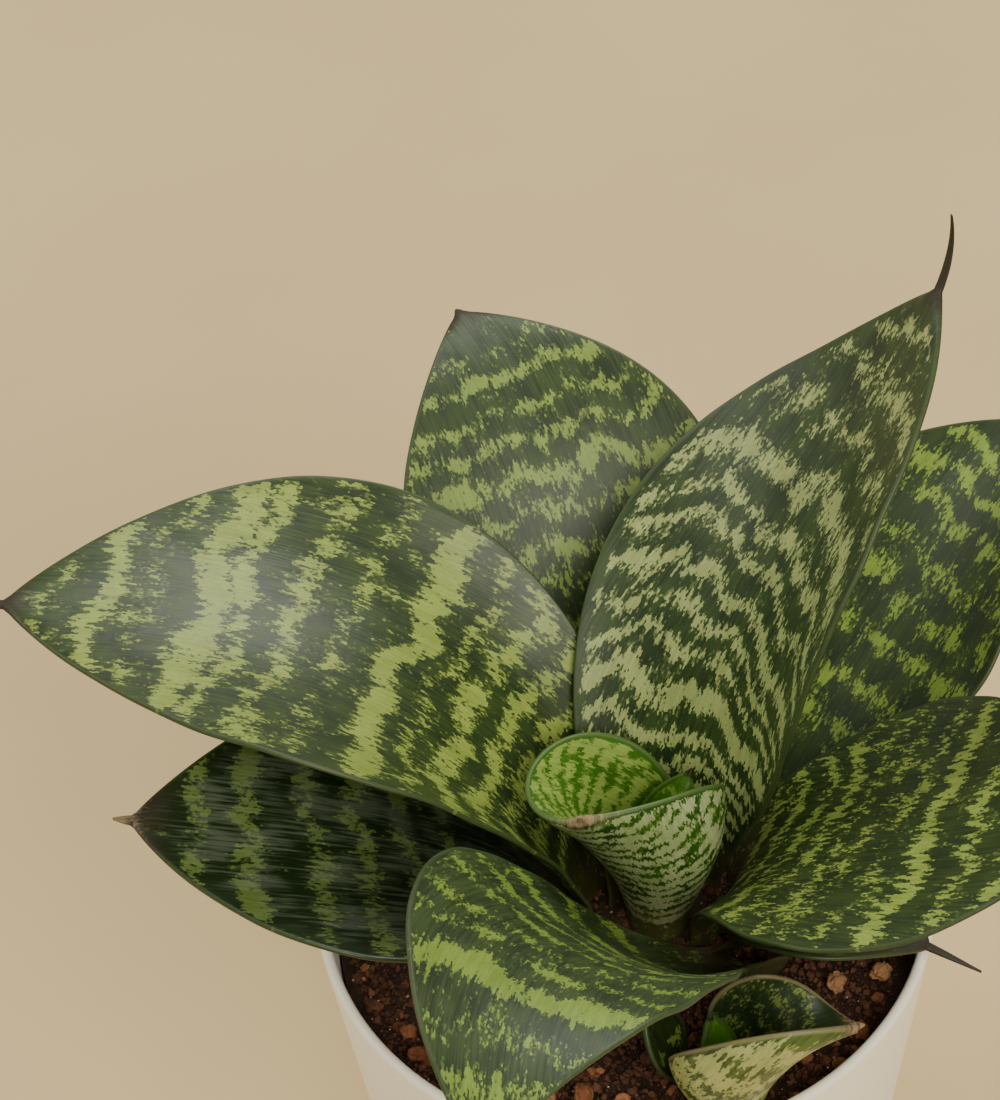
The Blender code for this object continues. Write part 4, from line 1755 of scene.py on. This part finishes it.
@dataclass
class Stems:
    """The two short stems, ringed by the scars of shed leaves."""

    effects: SharedEffects
    steps: int = 72
    rows: int = 28
    scar_depth: float = 0.35 * MM
    scar_angle: float = 14.0
    shoulder: float = 0.8
    bumps: float = 0.25 * MM

    def build(self) -> list[bpy.types.Object]:
        """Builds both stems and dresses them."""
        bark = EarthFinish("stem_bark", (0.02, 0.014, 0.006), (0.12, 0.09, 0.035), blotch=260.0)
        pieces = []
        for node in ("stem", "offset_stem"):
            low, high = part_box(node)
            radius = (high.x - low.x) / 2
            middle = Vector(((low.x + high.x) / 2, (low.y + high.y) / 2, 0))
            profile = [(0.0, low.z)]
            for row in range(self.rows + 1):
                share = row / self.rows
                scar = self.scar_depth * abs(math.sin(share * self.scar_angle))
                rounded = math.sqrt(max(1 - max(share - self.shoulder, 0) ** 2 / 0.05, 0.02))
                profile.append(((radius - scar) * rounded, low.z + (high.z - low.z) * share))
            profile.append((0.0, high.z))
            mesh = lathe(node + "_bark", profile, self.steps)
            for vert in mesh.vertices:
                push = noise.noise(vert.co * 700) * self.bumps
                flat = Vector((vert.co.x, vert.co.y, 0))
                if flat.length > 0:
                    vert.co += flat.normalized() * push
                vert.co += middle
            smooth_by_angle(mesh, 60)
            mesh.materials.append(bark.material(self.effects))
            pieces.append(added(mesh, node + "_bark", [node]))
        return pieces


# ---------------------------------------------------------------------------- studio


@dataclass(frozen=True)
class SoftLight:
    """One large soft lamp, aimed at the plant."""

    name: str
    place: tuple[float, float, float]
    size: tuple[float, float]
    power: float
    colour: Colour

    def build(self, target: Vector) -> None:
        """Adds the lamp, facing the target."""
        lamp = bpy.data.lights.new(self.name, "AREA")
        lamp.shape = "RECTANGLE"
        lamp.size, lamp.size_y = self.size
        lamp.energy = self.power
        lamp.color = self.colour
        stand = linked(self.name, lamp)
        stand.location = self.place
        stand.rotation_euler = (target - Vector(self.place)).to_track_quat("-Z", "Y").to_euler()


@dataclass
class Studio:
    """The plain pale floor, the soft lights and the camera."""

    effects: SharedEffects
    floor_side: float = 6.0
    floor_gap: float = 0.2 * MM
    floor_colour: Colour = (0.6, 0.46, 0.24)
    sky: Colour = (1.0, 0.94, 0.8)
    sky_strength: float = 0.53
    pitch: float = 45.0
    lean: float = -4.5
    lens: float = 98.18
    distance: float = 0.534
    shift_right: float = 0.0221
    shift_up: float = 0.0595
    aim_height: float = 120 * MM
    lights: tuple[SoftLight, ...] = (
        SoftLight("window_right", (0.5, 1.03, 1.36), (0.85, 0.75), 15.6, (1.0, 0.98, 0.93)),
        SoftLight("window_front", (0.45, -1.1, 1.35), (1.2, 1.0), 26.0, (1.0, 0.95, 0.82)),
        SoftLight("window_left", (-1.3, 0.4, 1.15), (0.8, 0.8), 9.4, (1.0, 0.96, 0.88)),
    )

    def floor(self) -> None:
        """The floor, a matt surface with a faint cloudy tone."""
        work = bmesh.new()
        bmesh.ops.create_grid(work, x_segments=8, y_segments=8, size=self.floor_side / 2)
        mesh = mesh_from(work, "studio_floor", outward=False)
        material, net, shader = new_material("floor_matt")
        place = net.add("ShaderNodeTexCoord").outputs["Object"]
        clouds = net.group(self.effects.mottle, {"Place": place, "Blotch": 7.0, "Pit": 400.0})
        shade = tuple(value * 0.93 for value in self.floor_colour)
        tone = net.smooth(clouds.outputs["Slow"], 0.35, 0.65)
        net.feed(shader.inputs["Base Color"], net.colour_mix(tone, shade, self.floor_colour))
        shader.inputs["Roughness"].default_value = 0.9
        mesh.materials.append(material)
        floor = linked("studio_floor", mesh)
        floor.location = (0, 0, -self.floor_gap)

    def world(self) -> None:
        """An even warm sky."""
        world = bpy.data.worlds.new("studio_sky")
        world.use_nodes = True
        back = world.node_tree.nodes["Background"]
        back.inputs["Color"].default_value = (*self.sky, 1.0)
        back.inputs["Strength"].default_value = self.sky_strength
        bpy.context.scene.world = world

    def camera(self) -> None:
        """The camera, above the front and a little turned about its own axis."""
        pitch, lean = math.radians(self.pitch), math.radians(self.lean)
        right = Vector((1, 0, 0))
        forward = Vector((0, math.cos(pitch), -math.sin(pitch)))
        up = Vector((0, math.sin(pitch), math.cos(pitch)))
        leant_right = right * math.cos(lean) + up * math.sin(lean)
        leant_up = up * math.cos(lean) - right * math.sin(lean)
        _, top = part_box("pot")
        place = Vector((0, 0, top.z)) - leant_right * self.shift_right
        place += leant_up * self.shift_up - forward * self.distance
        view = bpy.data.cameras.new("studio_camera")
        view.lens = self.lens
        view.clip_start, view.clip_end = 0.01, 50
        camera = linked("studio_camera", view)
        camera.matrix_world = Matrix((leant_right, leant_up, -forward)).transposed().to_4x4()
        camera.location = place
        bpy.context.scene.camera = camera

    def build(self) -> None:
        """Builds the whole studio."""
        self.floor()
        self.world()
        self.camera()
        for light in self.lights:
            light.build(Vector((0, 0, self.aim_height)))


def main() -> None:
    """Builds every sub-assembly in order and reports each piece."""
    logging.basicConfig(level=logging.INFO, format="%(name)s %(message)s")
    effects = SharedEffects()
    Pot(effects).build()
    SoilBed(effects).build()
    LooseGrains(effects).build()
    Stems(effects).build()
    Rosette(effects).build()
    Offset(effects).build()
    Studio(effects).build()


if __name__ == "__main__":
    main()
